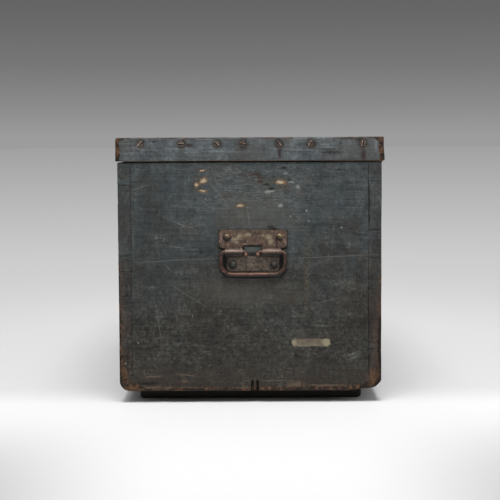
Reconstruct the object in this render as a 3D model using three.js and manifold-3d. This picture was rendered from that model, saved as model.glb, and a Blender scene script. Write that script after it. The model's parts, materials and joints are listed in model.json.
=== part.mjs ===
// A painted pine tool chest. Its case is dovetailed boards on a boarded bottom and two skids. The lid is
// boards inside a screwed rim, on butt hinges. Each end has a pressed iron lifting handle. A box lock is
// let into the front, and two tills slide on stepped runners inside.
// Millimetres. +X runs along the chest, -Y is its front and +Z is up. The origin is on the ground, at the
// middle of the space that the whole chest takes up.
import * as THREE from "three";
import { mergeVertices } from "three/addons/utils/BufferGeometryUtils.js";
import Module from "manifold-3d";

// Clearances
const jointGap = 0.3; // between two boards, or a fitting and its seat
const lidGap = 0.5; // between the case's top edge and the closed lid
const runningGap = 0.35; // round a hinge pin, and round a bail in its barrel
const tillPlay = 1.5; // beyond each end of a till
const overrun = 4; // how far a cutting shape passes the face that it cuts
const weldDistance = 1e-4;

// Case walls
const chestLength = 840;
const chestDepth = 448;
const wallHeight = 371.5;
const sideWall = 22; // thickness of the front and back boards
const endWall = 22;
const frontJointShare = 0.5; // of the wall's height, down from its top edge, where two boards meet
const backJointShare = 0.44;
const endJointFrontShare = 0.463; // the ends' joint slopes: here it is at the front corner
const endJointBackShare = 0.426;

// Dovetails
const pinTip = 12; // a pin's height at the end face
const pinFlare = 3.6; // how much it gains above and below on its way in
const frontPinShares = [0.088, 0.417, 0.635, 0.83]; // of the wall's height, down from its top edge
const backPinShares = [0.072, 0.333, 0.56, 0.849];

// Bottom boards and skids
const floorThickness = 20;
const firstFloorBoard = 73.7; // width of the board at the front
const floorBoardPitch = 79.3;
const narrowestBoard = 25;
const skidHeight = 19;
const skidWidth = 60;
const skidInset = 45; // back from the end face
const skidSetIn = 32; // in from the front and back faces
const skidCorner = 6;

// Wear that rounds the bottom edges, most at the four corners
const frontCornerWear = 26;
const backCornerWear = 20;
const edgeWear = 6;
const wearReach = 120; // how far along the chest the corner's rounding fades

// Lid
const lidHeight = 41;
const lidProud = 3; // how far the rim stands out past the case
const rimThickness = 25;
const rimCorner = 5;
const lidBoardThickness = 22;
const lidJointShare = 0.55; // of the lid's depth, back from its front

// Screws that hold the rim to the lid's boards
const screwHeadRadius = 5.5;
const screwHeadHeight = 3.2;
const screwShankRadius = 2.6;
const screwLength = 38;
const screwPoint = 6;
const screwSlotWidth = 1.2;
const screwSlotDepth = 1.3;
const screwDrop = 11.8; // below the top of the lid
const screwShares = [-0.406, -0.255, -0.123, -0.026, 0.108, 0.227, 0.421]; // of the lid's depth
const screwTurns = [50, 0, -42, -14, -52, 62, 80]; // degrees from level that each slot is turned
const screwSides = 12;

// Lifting handles
const handleDrop = 153; // from the case's top edge down to the bail's pivot
const handleOffset = 5; // towards the back
const sheet = 1.1; // thickness of the pressed plate
const plateTop = 37.5; // heights and half widths are from the pivot
const plateHalf = 57.7;
const plateCorner = 6;
const plateShoulder = 16; // where the side starts to draw in
const plateNotch = 7.2; // where it is narrowest
const notchHalf = 50;
const barrelHalf = 47;
const plateFootHalf = 45;
const plateFoot = 35.5;
const footCorner = 12;
const windowHalf = 16.7;
const windowTop = 11.5;
const windowOffset = -0.8;
const wireRadius = 3.55;
const pivotOut = 5.2; // from the wood to the wire's middle
const bailHalf = 53.8;
const bailDrop = 38.4;
const bailShoulder = 6.6; // bend where the wire leaves the barrel
const bailBend = 19; // bend at the grip's ends
const wireEnds = [-11.6, 7.6]; // where the two ends turn out, in the window
const stopBend = 4.6;
const stopLength = 3.4;
const stopTilt = 25; // degrees that the turned ends point below level
const wireSides = 10;

// Dome-headed studs that fix the handles
const studTopHalf = 45;
const studTop = 25.2;
const studFootHalf = 35;
const studFoot = 21.6;
const studHeadRadius = 5.7;
const studHeadHeight = 3.4;
const studRadius = 2.5;
const studLength = 20;
const studSides = 12;

// Butt hinges
const hingeInset = 150; // from the end face to the hinge's middle
const hingeLength = 76;
const leafWidth = 26; // from the pin's axis
const leafThickness = 2.2;
const knuckleRadius = 4.2;
const knuckleClear = 0.4; // from the rim to the knuckles
const hingePinRadius = 2;
const knuckles = 5;
const hingeSides = 16;

// Box lock and its link plate
const lockWidth = 84;
const lockHeight = 56;
const lockDepth = 16;
const lockPlate = 1.6;
const linkThickness = 4;
const linkWidth = 9;
const linkDrop = 15;
const linkPlay = 0.8; // round the link in the lock's mouth
const eyeWidth = 5;
const eyeHeight = 8;
const eyeBelow = 4; // from the link plate down to its eye
const linkPlateLength = 60;
const linkPlateWidth = 12;
const linkPlateThickness = 2;
const boltNose = 4; // thickness of the bolt's nose
const boltNoseHeight = 7;
const boltNoseLength = 12;
const boltBodyLength = 20;
const boltBodyHeight = 14;
const boltBack = 2; // from the link to the drawn-back nose
const keyholeDrop = 32;
const keyholeRadius = 3.2;
const keyholeSlot = 3;
const keyholeLength = 10;
const escutcheonWidth = 24;
const escutcheonHeight = 36;
const escutcheonThickness = 1.4;

// Tills and their runners
const tillDepth = 190;
const tillBoard = 9;
const tillFloor = 7;
const upperTillSide = 80; // height of its boards above its floor
const lowerTillSide = 92;
const tillTopDrop = 15; // from the case's top edge down to the upper till
const tillSpacing = 10; // between the upper till's floor and the lower till
const upperRunner = 12; // thickness of the runner's upper step
const lowerRunner = 24;
const lowerRunnerHeight = 30;
const tillRest = 1; // from a till to the wall that it rests against

// Heights and half sizes that follow from these
const halfLength = chestLength / 2;
const halfDepth = chestDepth / 2;
const floorBottom = skidHeight + jointGap;
const wallBottom = floorBottom + floorThickness + jointGap;
const wallTop = wallBottom + wallHeight;
const lidBottom = wallTop + lidGap;
const lidTop = lidBottom + lidHeight;
const lidHalfLength = halfLength + lidProud;
const lidHalfDepth = halfDepth + lidProud;
const insideHalfDepth = halfDepth - sideWall - jointGap;
const insideHalfLength = halfLength - endWall - jointGap;
const barrelInside = wireRadius + runningGap;
const barrelOutside = barrelInside + sheet;
const hingeAxisY = lidHalfDepth + knuckleClear + knuckleRadius;
const hingeAxisZ = (wallTop + lidBottom) / 2;
const hingeX = halfLength - hingeInset;
const upperRunnerTop = wallTop - tillTopDrop - upperTillSide - tillFloor - 2 * jointGap;
const lowerRunnerTop = upperRunnerTop - tillSpacing - lowerTillSide - tillFloor - jointGap;
const lockMiddleY = -halfDepth + sideWall - lockDepth / 2;
const boltMiddleZ = lidBottom - eyeBelow - eyeHeight / 2;

// Materials
const paint = new THREE.MeshStandardMaterial({ color: 0x3d4648, roughness: 0.72, metalness: 0 });
const underside = new THREE.MeshStandardMaterial({ color: 0x2a2622, roughness: 0.85, metalness: 0 });
const barePine = new THREE.MeshStandardMaterial({ color: 0x8a6a45, roughness: 0.7, metalness: 0 });
const rustyIron = new THREE.MeshStandardMaterial({ color: 0x5e4a40, roughness: 0.62, metalness: 0.55 });
const wornSteel = new THREE.MeshStandardMaterial({ color: 0x6b5a50, roughness: 0.5, metalness: 0.8 });
const oldBrass = new THREE.MeshStandardMaterial({ color: 0x8a7440, roughness: 0.45, metalness: 0.9 });

const wasm = await Module();
wasm.setup();

// A closed geometry as a solid that can be joined and cut. It may be drawn with its faces either way round.
function solidOf(geometry) {
  const loose = geometry.index ? geometry.toNonIndexed() : geometry;
  const bare = new THREE.BufferGeometry();
  bare.setAttribute("position", loose.getAttribute("position"));
  const welded = mergeVertices(bare, weldDistance);
  const corners = welded.index.array;
  const kept = [];
  for (let i = 0; i < corners.length; i += 3) {
    const [a, b, c] = corners.subarray(i, i + 3);
    if (a !== b && b !== c && c !== a) kept.push(a, b, c);
  }
  const make = (triVerts) =>
    new wasm.Manifold(
      new wasm.Mesh({
        numProp: 3,
        vertProperties: welded.attributes.position.array,
        triVerts: Uint32Array.from(triVerts),
      }),
    );
  const made = make(kept);
  return made.volume() < 0 ? make(kept.reverse()) : made;
}

// A solid as a named mesh.
function meshOf(name, solid, material) {
  const { vertProperties, triVerts } = solid.getMesh();
  const geometry = new THREE.BufferGeometry();
  geometry.setAttribute("position", new THREE.BufferAttribute(vertProperties, 3));
  geometry.setIndex(new THREE.BufferAttribute(triVerts, 1));
  const loose = geometry.toNonIndexed();
  loose.computeVertexNormals();
  const mesh = new THREE.Mesh(loose, material);
  mesh.name = name;
  return mesh;
}

// A box between two corners. The corners may be given in any order.
function block(a, b) {
  const [sx, sy, sz] = a.map((value, i) => Math.abs(b[i] - value));
  const box = new THREE.BoxGeometry(sx, sy, sz);
  box.translate(...a.map((value, i) => (value + b[i]) / 2));
  return solidOf(box);
}

function polygon(points) {
  return new THREE.Shape(points.map(([u, v]) => new THREE.Vector2(u, v)));
}

// Outlines carried along an axis: one drawn in Y and Z goes along X, one in X and Z goes along Y, and one
// in X and Y goes along Z.
const toX = new THREE.Matrix4().set(0, 0, 1, 0, 1, 0, 0, 0, 0, 1, 0, 0, 0, 0, 0, 1);
const toY = new THREE.Matrix4().set(1, 0, 0, 0, 0, 0, -1, 0, 0, 1, 0, 0, 0, 0, 0, 1);

function prism(shape, depth, curveSegments) {
  return new THREE.ExtrudeGeometry(shape, { depth, curveSegments, bevelEnabled: false });
}

function prismX(shape, x0, x1, curveSegments = 6) {
  return solidOf(prism(shape, x1 - x0, curveSegments).applyMatrix4(toX).translate(x0, 0, 0));
}

function prismY(shape, y0, y1, curveSegments = 6) {
  return solidOf(prism(shape, y1 - y0, curveSegments).applyMatrix4(toY).translate(0, y1, 0));
}

function prismZ(shape, z0, z1, curveSegments = 6) {
  return solidOf(prism(shape, z1 - z0, curveSegments).translate(0, 0, z0));
}

// A profile of [radius, height] pairs turned about the Z axis.
function turned(profile, sides) {
  const points = profile.map(([radius, height]) => new THREE.Vector2(radius, height));
  return new THREE.LatheGeometry(points, sides).rotateX(Math.PI / 2);
}

// A round bar along X.
function barX(x0, x1, y, z, radius, sides) {
  const bar = new THREE.CylinderGeometry(radius, radius, x1 - x0, sides);
  bar.rotateZ(Math.PI / 2);
  return solidOf(bar.translate((x0 + x1) / 2, y, z));
}

// Rings of points joined into a skin, with each end closed by a fan from the ring's last point.
function loft(rings) {
  const count = rings[0].length;
  const faces = [];
  for (let r = 0; r + 1 < rings.length; r++) {
    for (let i = 0; i < count; i++) {
      const j = (i + 1) % count;
      const [a, b] = [rings[r][i], rings[r][j]];
      const [c, d] = [rings[r + 1][j], rings[r + 1][i]];
      faces.push(a, b, c, a, c, d);
    }
  }
  const last = rings[rings.length - 1];
  for (let i = 0; i + 2 < count; i++) {
    faces.push(rings[0][count - 1], rings[0][i + 1], rings[0][i]);
    faces.push(last[count - 1], last[i], last[i + 1]);
  }
  return solidOf(new THREE.BufferGeometry().setFromPoints(faces));
}

// A round wire along a list of points, with square ends.
function wireAlong(points, radius, sides) {
  const tangents = points.map((point, i) => {
    const before = points[Math.max(i - 1, 0)];
    const after = points[Math.min(i + 1, points.length - 1)];
    return after.clone().sub(before).normalize();
  });
  const across = new THREE.Vector3(0, 1, 0);
  const rings = points.map((point, i) => {
    across.sub(tangents[i].clone().multiplyScalar(across.dot(tangents[i]))).normalize();
    const third = tangents[i].clone().cross(across);
    return Array.from({ length: sides }, (_, k) => {
      const turn = (2 * Math.PI * k) / sides;
      const spoke = across.clone().multiplyScalar(Math.cos(turn)).addScaledVector(third, Math.sin(turn));
      return point.clone().addScaledVector(spoke, radius);
    });
  });
  return loft(rings);
}

// Points round an arc about a centre, from one unit direction to another that is square to it.
function arc(centre, from, to, radius, steps) {
  return Array.from({ length: steps + 1 }, (_, i) => {
    const turn = (Math.PI / 2) * (i / steps);
    const point = centre.clone().addScaledVector(from, radius * Math.cos(turn));
    return point.addScaledVector(to, radius * Math.sin(turn));
  });
}

// What wear takes off the long bottom edge on one side (-1 front, 1 back): everything outside an arc whose
// radius grows from the middle of the chest to its corners.
function bottomWear(side) {
  const cornerWear = side < 0 ? frontCornerWear : backCornerWear;
  const middle = edgeWear + (cornerWear - edgeWear) / 4;
  const stations = [
    [halfLength + overrun, cornerWear],
    [halfLength, cornerWear],
    [halfLength - wearReach / 2, middle],
    [halfLength - wearReach, edgeWear],
  ];
  const along = [...stations.map(([x, r]) => [-x, r]), ...[...stations].reverse()];
  const steps = 7;
  return loft(
    along.map(([x, radius]) => {
      const outY = side * (halfDepth + overrun);
      const lowZ = floorBottom - overrun;
      const centreY = side * (halfDepth - radius);
      const centreZ = floorBottom + radius;
      const ring = [new THREE.Vector3(x, outY, centreZ)];
      for (let i = 0; i <= steps; i++) {
        const turn = (Math.PI / 2) * (i / steps);
        const y = centreY + side * radius * Math.cos(turn);
        ring.push(new THREE.Vector3(x, y, centreZ - radius * Math.sin(turn)));
      }
      ring.push(new THREE.Vector3(x, centreY, lowZ), new THREE.Vector3(x, outY, lowZ));
      return ring;
    }),
  );
}

// A dovetail pin seen from the front, or the socket that it fits when it is grown by a gap. It is narrow at
// the end face and widens inwards.
function pinShape(end, height, gap, reach) {
  const half = (inwards) => pinTip / 2 + gap + (inwards * pinFlare) / endWall;
  const outer = end * (halfLength + reach);
  const inner = end * (halfLength - endWall - gap);
  const tip = half(-reach);
  const root = half(endWall + gap);
  return polygon([
    [outer, height - tip],
    [outer, height + tip],
    [inner, height + root],
    [inner, height - root],
  ]);
}

// Heights of the pins at one corner, with a half pin at the top edge and one at the bottom.
function pinHeights(side) {
  const shares = side < 0 ? frontPinShares : backPinShares;
  return [0, ...shares, 1].map((share) => wallTop - share * wallHeight);
}

// Where the handle's four studs stand, in Y and Z, on either end of the chest.
function studPlaces() {
  const pivotZ = wallTop - handleDrop;
  return [
    [handleOffset - studTopHalf, pivotZ + studTop],
    [handleOffset + studTopHalf, pivotZ + studTop],
    [handleOffset - studFootHalf, pivotZ - studFoot],
    [handleOffset + studFootHalf, pivotZ - studFoot],
  ];
}

// One end of the case, with the pins at both corners and the holes for the handle's studs, as an upper and
// a lower board that meet on a sloping joint.
function endBoards(end, name) {
  const outer = end * halfLength;
  const inner = end * (halfLength - endWall);
  let panel = block([inner, -insideHalfDepth, wallBottom], [outer, insideHalfDepth, wallTop]);
  for (const side of [-1, 1]) {
    const [y0, y1] = [side * halfDepth, side * (insideHalfDepth - overrun)].sort((a, b) => a - b);
    for (const height of pinHeights(side)) {
      panel = panel.add(prismY(pinShape(end, height, 0, 0), y0, y1));
    }
  }
  panel = panel.intersect(block([inner, -halfDepth, wallBottom], [outer, halfDepth, wallTop]));
  const [boreStart, boreEnd] = [outer - end * studLength, outer + end * overrun].sort((a, b) => a - b);
  for (const [y, z] of studPlaces()) {
    panel = panel.subtract(barX(boreStart, boreEnd, y, z, studRadius + jointGap, studSides));
  }
  const frontZ = wallTop - endJointFrontShare * wallHeight;
  const backZ = wallTop - endJointBackShare * wallHeight;
  const slab = (lift, far) =>
    prismX(
      polygon([
        [-halfDepth, frontZ + lift],
        [halfDepth, backZ + lift],
        [halfDepth, far],
        [-halfDepth, far],
      ]),
      -halfLength,
      halfLength,
    );
  const upper = panel.intersect(slab(jointGap / 2, wallTop));
  const lower = panel
    .intersect(slab(-jointGap / 2, wallBottom))
    .subtract(bottomWear(-1))
    .subtract(bottomWear(1));
  return [
    meshOf(`${name}_end_upper_board`, upper, paint),
    meshOf(`${name}_end_lower_board`, lower, paint),
  ];
}

// The front or the back of the case, with its tails, as an upper and a lower board. The cuts are taken out
// of the upper one.
function sideBoards(side, name, jointShare, cuts) {
  const outer = side * halfDepth;
  const inner = side * (halfDepth - sideWall);
  const [y0, y1] = [outer + side * overrun, inner - side * overrun].sort((a, b) => a - b);
  let panel = block([-halfLength, outer, wallBottom], [halfLength, inner, wallTop]);
  for (const end of [-1, 1]) {
    for (const height of pinHeights(side)) {
      panel = panel.subtract(prismY(pinShape(end, height, jointGap, overrun), y0, y1));
    }
  }
  const jointZ = wallTop - jointShare * wallHeight;
  const part = (z0, z1) => panel.intersect(block([-halfLength, outer, z0], [halfLength, inner, z1]));
  let upper = part(jointZ + jointGap / 2, wallTop);
  for (const cut of cuts) upper = upper.subtract(cut);
  const lower = part(wallBottom, jointZ - jointGap / 2).subtract(bottomWear(side));
  return [
    meshOf(`${name}_upper_board`, upper, paint),
    meshOf(`${name}_lower_board`, lower, paint),
  ];
}

// The bottom: boards that run the length of the chest, side by side from the front.
function floorBoards() {
  const edges = [-halfDepth];
  let next = -halfDepth + firstFloorBoard;
  while (next < halfDepth - narrowestBoard) {
    edges.push(next);
    next += floorBoardPitch;
  }
  edges.push(halfDepth);
  return edges.slice(1).map((edge, i) => {
    const near = i ? edges[i] + jointGap / 2 : edges[i];
    const far = edge < halfDepth ? edge - jointGap / 2 : edge;
    const board = block([-halfLength, near, floorBottom], [halfLength, far, wallBottom - jointGap])
      .subtract(bottomWear(-1))
      .subtract(bottomWear(1));
    return meshOf(`floor_board_${i + 1}`, board, underside);
  });
}

// A batten across the underside near one end, with its lower corners rounded off.
function skid(end, name) {
  const half = halfDepth - skidSetIn;
  const outline = new THREE.Shape();
  outline.moveTo(-half, skidHeight);
  outline.lineTo(-half, skidCorner);
  outline.absarc(-half + skidCorner, skidCorner, skidCorner, Math.PI, 1.5 * Math.PI, false);
  outline.lineTo(half - skidCorner, 0);
  outline.absarc(half - skidCorner, skidCorner, skidCorner, 1.5 * Math.PI, 2 * Math.PI, false);
  outline.lineTo(half, skidHeight);
  const outer = end * (halfLength - skidInset);
  const [x0, x1] = [outer, outer - end * skidWidth].sort((a, b) => a - b);
  return meshOf(`${name}_skid`, prismX(outline, x0, x1, 4), underside);
}

// A countersunk screw standing on its point, with its head's face at height 0.
const screwProfile = [
  [0, 0],
  [screwHeadRadius, 0],
  [screwShankRadius, -screwHeadHeight],
  [screwShankRadius, -screwLength + screwPoint],
  [0, -screwLength],
];

// The hole for one such screw in the right end of the lid.
function screwHole([y, z]) {
  const profile = [
    [0, overrun],
    [screwHeadRadius + jointGap, overrun],
    [screwHeadRadius + jointGap, 0],
    [screwShankRadius + jointGap, -screwHeadHeight],
    [screwShankRadius + jointGap, -screwLength + screwPoint],
    [0, -screwLength - jointGap],
  ];
  const hole = turned(profile, screwSides).rotateY(Math.PI / 2);
  return solidOf(hole.translate(lidHalfLength - jointGap, y, z));
}

function screwPlaces() {
  return screwShares.map((share) => [share * 2 * lidHalfDepth, lidTop - screwDrop]);
}

function rimScrews() {
  const slot = block(
    [-screwSlotWidth / 2, -screwHeadRadius - overrun, -screwSlotDepth],
    [screwSlotWidth / 2, screwHeadRadius + overrun, overrun],
  );
  const screw = solidOf(turned(screwProfile, screwSides)).subtract(slot);
  return screwPlaces().map(([y, z], i) => {
    const mesh = meshOf(`right_rim_screw_${i + 1}`, screw, wornSteel);
    mesh.position.set(lidHalfLength - jointGap, y, z);
    mesh.rotation.set(0, Math.PI / 2, THREE.MathUtils.degToRad(screwTurns[i]), "YZX");
    return mesh;
  });
}

// A rectangle with its two upper corners rounded off, or all four of them.
function roundedRectangle(half, low, high, radius, lowRadius) {
  const outline = new THREE.Shape();
  const corner = (u, v, r, turn) => {
    if (r) outline.absarc(u, v, r, turn, turn + Math.PI / 2, false);
    else outline.lineTo(u, v);
  };
  outline.moveTo(-half + lowRadius, low);
  corner(half - lowRadius, low + lowRadius, lowRadius, 1.5 * Math.PI);
  corner(half - radius, high - radius, radius, 0);
  corner(-half + radius, high - radius, radius, Math.PI / 2);
  corner(-half + lowRadius, low + lowRadius, lowRadius, Math.PI);
  return outline;
}

// The rounded block that the whole lid is cut from.
function lidBlank() {
  const steps = 4;
  const alongX = roundedRectangle(lidHalfDepth, lidBottom, lidTop, rimCorner, 0);
  const alongY = roundedRectangle(lidHalfLength, lidBottom, lidTop, rimCorner, 0);
  const plan = roundedRectangle(lidHalfLength, -lidHalfDepth, lidHalfDepth, rimCorner, rimCorner);
  return prismX(alongX, -lidHalfLength, lidHalfLength, steps)
    .intersect(prismY(alongY, -lidHalfDepth, lidHalfDepth, steps))
    .intersect(prismZ(plan, lidBottom, lidTop, steps));
}

// The lid: two boards inside a rim of four, with the end rims over the ends of the other two.
function lidParts() {
  const blank = lidBlank();
  const part = (name, a, b, cuts) => {
    let solid = block(a, b).intersect(blank);
    for (const cut of cuts) solid = solid.subtract(cut);
    return meshOf(name, solid, paint);
  };
  const innerX = lidHalfLength - rimThickness;
  const innerY = lidHalfDepth - rimThickness;
  const [boardX, boardY] = [innerX - jointGap, innerY - jointGap];
  const boardZ = lidTop - lidBoardThickness;
  const jointY = (2 * lidJointShare - 1) * lidHalfDepth;
  const [nearY, farY] = [jointY - jointGap / 2, jointY + jointGap / 2];
  const screws = screwPlaces().map(screwHole);
  const hinges = [-1, 1].map(lidLeafSeat);
  return [
    part("lid_front_board", [-boardX, -boardY, boardZ], [boardX, nearY, lidTop], screws),
    part("lid_back_board", [-boardX, farY, boardZ], [boardX, boardY, lidTop], screws),
    part("lid_rim_right", [innerX, -lidHalfDepth, lidBottom], [lidHalfLength, lidHalfDepth, lidTop], screws),
    part("lid_rim_left", [-innerX, -lidHalfDepth, lidBottom], [-lidHalfLength, lidHalfDepth, lidTop], []),
    part("lid_rim_front", [-boardX, -innerY, lidBottom], [boardX, -lidHalfDepth, lidTop], [linkPlateSeat()]),
    part("lid_rim_back", [-boardX, innerY, lidBottom], [boardX, lidHalfDepth, lidTop], hinges),
  ];
}

// Where one hinge's two leaves are let in: into the back board's top edge, and into the rim above it.
function leafSeat(side, z0, z1) {
  const half = hingeLength / 2 + jointGap;
  const near = hingeAxisY - leafWidth - jointGap;
  return block([side * hingeX - half, near, z0], [side * hingeX + half, lidHalfDepth + overrun, z1]);
}

function caseLeafSeat(side) {
  return leafSeat(side, wallTop - leafThickness - jointGap, wallTop + overrun);
}

function lidLeafSeat(side) {
  return leafSeat(side, lidBottom - overrun, lidBottom + leafThickness + jointGap);
}

// A butt hinge: a leaf on the case with the outer and middle knuckles, a leaf on the lid with the others,
// and the pin that both turn on.
function hinge(side, name) {
  const start = side * hingeX - hingeLength / 2;
  const pitch = hingeLength / knuckles;
  const bore = barX(
    start - overrun,
    start + hingeLength + overrun,
    hingeAxisY,
    hingeAxisZ,
    hingePinRadius + runningGap,
    hingeSides,
  );
  const leaf = (z0, z1, first) => {
    const near = hingeAxisY - leafWidth;
    let solid = block([start, near, z0], [start + hingeLength, hingeAxisY, z1]);
    for (let i = 0; i < knuckles; i++) {
      const [x0, x1] = [start + i * pitch, start + (i + 1) * pitch];
      const half = jointGap / 2;
      if (i % 2 === first) {
        const knuckle = barX(x0 + half, x1 - half, hingeAxisY, hingeAxisZ, knuckleRadius, hingeSides);
        solid = solid.add(knuckle);
      } else {
        const edge = hingeAxisY - knuckleRadius - knuckleClear;
        const slot = [x1 + half, hingeAxisY + overrun, z1 + overrun];
        solid = solid.subtract(block([x0 - half, edge, z0 - overrun], slot));
      }
    }
    return solid.subtract(bore);
  };
  const pin = barX(start, start + hingeLength, hingeAxisY, hingeAxisZ, hingePinRadius, hingeSides);
  return [
    meshOf(`${name}_hinge_case_leaf`, leaf(wallTop - leafThickness, wallTop, 0), rustyIron),
    meshOf(`${name}_hinge_lid_leaf`, leaf(lidBottom, lidBottom + leafThickness, 1), rustyIron),
    meshOf(`${name}_hinge_pin`, pin, wornSteel),
  ];
}

// The pressed plate of a lifting handle, flat on the wood at X = 0, with the bail's pivot at the middle of Y
// and Z. Its two barrels stand over the wire, on either side of a window.
function handlePlate() {
  const outline = new THREE.Shape();
  outline.moveTo(-plateHalf + plateCorner, plateTop);
  outline.absarc(-plateHalf + plateCorner, plateTop - plateCorner, plateCorner, Math.PI / 2, Math.PI, false);
  outline.lineTo(-plateHalf, plateShoulder);
  outline.quadraticCurveTo(-plateHalf, plateNotch, -notchHalf, plateNotch);
  outline.lineTo(-barrelHalf, barrelOutside);
  outline.lineTo(-barrelHalf, -barrelOutside);
  outline.lineTo(-plateFootHalf, -barrelOutside);
  const footZ = -plateFoot + footCorner;
  outline.absarc(-plateFootHalf + footCorner, footZ, footCorner, Math.PI, 1.5 * Math.PI, false);
  outline.absarc(plateFootHalf - footCorner, footZ, footCorner, 1.5 * Math.PI, 2 * Math.PI, false);
  outline.lineTo(plateFootHalf, -barrelOutside);
  outline.lineTo(barrelHalf, -barrelOutside);
  outline.lineTo(barrelHalf, barrelOutside);
  outline.lineTo(notchHalf, plateNotch);
  outline.quadraticCurveTo(plateHalf, plateNotch, plateHalf, plateShoulder);
  outline.absarc(plateHalf - plateCorner, plateTop - plateCorner, plateCorner, 0, Math.PI / 2, false);
  const arch = new THREE.Shape();
  arch.moveTo(0, -barrelOutside);
  arch.absarc(pivotOut, 0, barrelOutside, -Math.PI / 2, Math.PI / 2, false);
  arch.lineTo(0, barrelOutside);
  const bore = new THREE.Shape().absarc(pivotOut, 0, barrelInside, 0, 2 * Math.PI, false);
  const window = block(
    [-overrun, windowOffset - windowHalf, -barrelOutside],
    [pivotOut + barrelOutside + overrun, windowOffset + windowHalf, windowTop],
  );
  return prismX(outline, 0, sheet, 5)
    .add(prismY(arch, -barrelHalf, barrelHalf, 10))
    .subtract(prismY(bore, -barrelHalf - overrun, barrelHalf + overrun, 8))
    .subtract(window);
}

// Half of the bail's path, from the turned end in the window to the middle of the grip. It hangs straight
// down from its pivot at the origin.
function bailPath(side) {
  const tilt = THREE.MathUtils.degToRad(stopTilt);
  const out = new THREE.Vector3(Math.cos(tilt), 0, -Math.sin(tilt));
  const away = new THREE.Vector3(0, side, 0);
  const down = new THREE.Vector3(0, 0, -1);
  const endY = side < 0 ? wireEnds[0] : wireEnds[1];
  const stopCentre = new THREE.Vector3(0, endY + side * stopBend, 0).addScaledVector(out, stopBend);
  const shoulderCentre = new THREE.Vector3(0, side * (bailHalf - bailShoulder), -bailShoulder);
  const gripCentre = new THREE.Vector3(0, side * (bailHalf - bailBend), bailBend - bailDrop);
  return [
    new THREE.Vector3(0, endY, 0).addScaledVector(out, stopBend + stopLength),
    ...arc(stopCentre, away.clone().negate(), out.clone().negate(), stopBend, 3),
    ...arc(shoulderCentre, down.clone().negate(), away, bailShoulder, 4),
    ...arc(gripCentre, away, down, bailBend, 5),
  ];
}

function bail() {
  return wireAlong([...bailPath(-1), ...bailPath(1).reverse()], wireRadius, wireSides);
}

// A dome-headed stud with its head's underside at height 0.
function stud() {
  const domeSteps = 4;
  const dome = Array.from({ length: domeSteps + 1 }, (_, i) => {
    const turn = (Math.PI / 2) * (i / domeSteps);
    return [studHeadRadius * Math.sin(turn), studHeadHeight * Math.cos(turn)];
  });
  const end = -sheet - studLength + jointGap;
  return solidOf(turned([...dome, [studRadius, 0], [studRadius, end], [0, end]], studSides));
}

// A lifting handle on one end of the chest. The studs of the right one are pieces of their own, and those
// of the left one are joined to its plate.
function handle(end, name) {
  const group = new THREE.Group();
  group.position.set(end * halfLength, handleOffset, wallTop - handleDrop);
  group.rotation.z = end < 0 ? Math.PI : 0;
  let plate = handlePlate();
  const studs = studPlaces().map(([y, z], i) => {
    const mesh = meshOf(`${name}_handle_stud_${i + 1}`, stud(), rustyIron);
    mesh.position.set(sheet, end * (y - handleOffset), z - (wallTop - handleDrop));
    mesh.rotation.y = Math.PI / 2;
    return mesh;
  });
  for (const mesh of studs) {
    const { y, z } = mesh.position;
    if (end > 0) {
      plate = plate.subtract(barX(-overrun, sheet + overrun, y, z, studRadius + jointGap, studSides));
      group.add(mesh);
    } else {
      mesh.updateMatrix();
      plate = plate.add(solidOf(mesh.geometry.applyMatrix4(mesh.matrix)));
    }
  }
  const wire = meshOf(`${name}_handle_bail`, bail(), rustyIron);
  wire.position.x = pivotOut;
  group.add(meshOf(`${name}_handle_plate`, plate, rustyIron), wire);
  return group;
}

// The seat of the box lock, let into the inside of the front board and open at its top edge.
function lockSeat() {
  const half = lockWidth / 2 + jointGap;
  const outer = -halfDepth + sideWall - lockDepth - jointGap;
  return block(
    [-half, outer, wallTop - lockHeight - jointGap],
    [half, -halfDepth + sideWall + overrun, wallTop + overrun],
  );
}

// The keyhole, cut from outside through to the middle of the lock.
function keyhole() {
  const z = wallTop - keyholeDrop;
  const half = keyholeSlot / 2;
  const turn = Math.asin(half / keyholeRadius);
  const outline = new THREE.Shape();
  outline.absarc(0, z, keyholeRadius, turn - Math.PI / 2, 1.5 * Math.PI - turn, false);
  outline.lineTo(-half, z - keyholeLength);
  outline.lineTo(half, z - keyholeLength);
  return prismY(outline, -halfDepth - escutcheonThickness - overrun, lockMiddleY, 6);
}

// Where the plate that carries the lock's link is let into the underside of the front rim.
function linkPlateSeat() {
  const half = linkPlateLength / 2 + jointGap;
  const halfY = linkPlateWidth / 2 + jointGap;
  return block(
    [-half, lockMiddleY - halfY, lidBottom - overrun],
    [half, lockMiddleY + halfY, lidBottom + linkPlateThickness + jointGap],
  );
}

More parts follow.
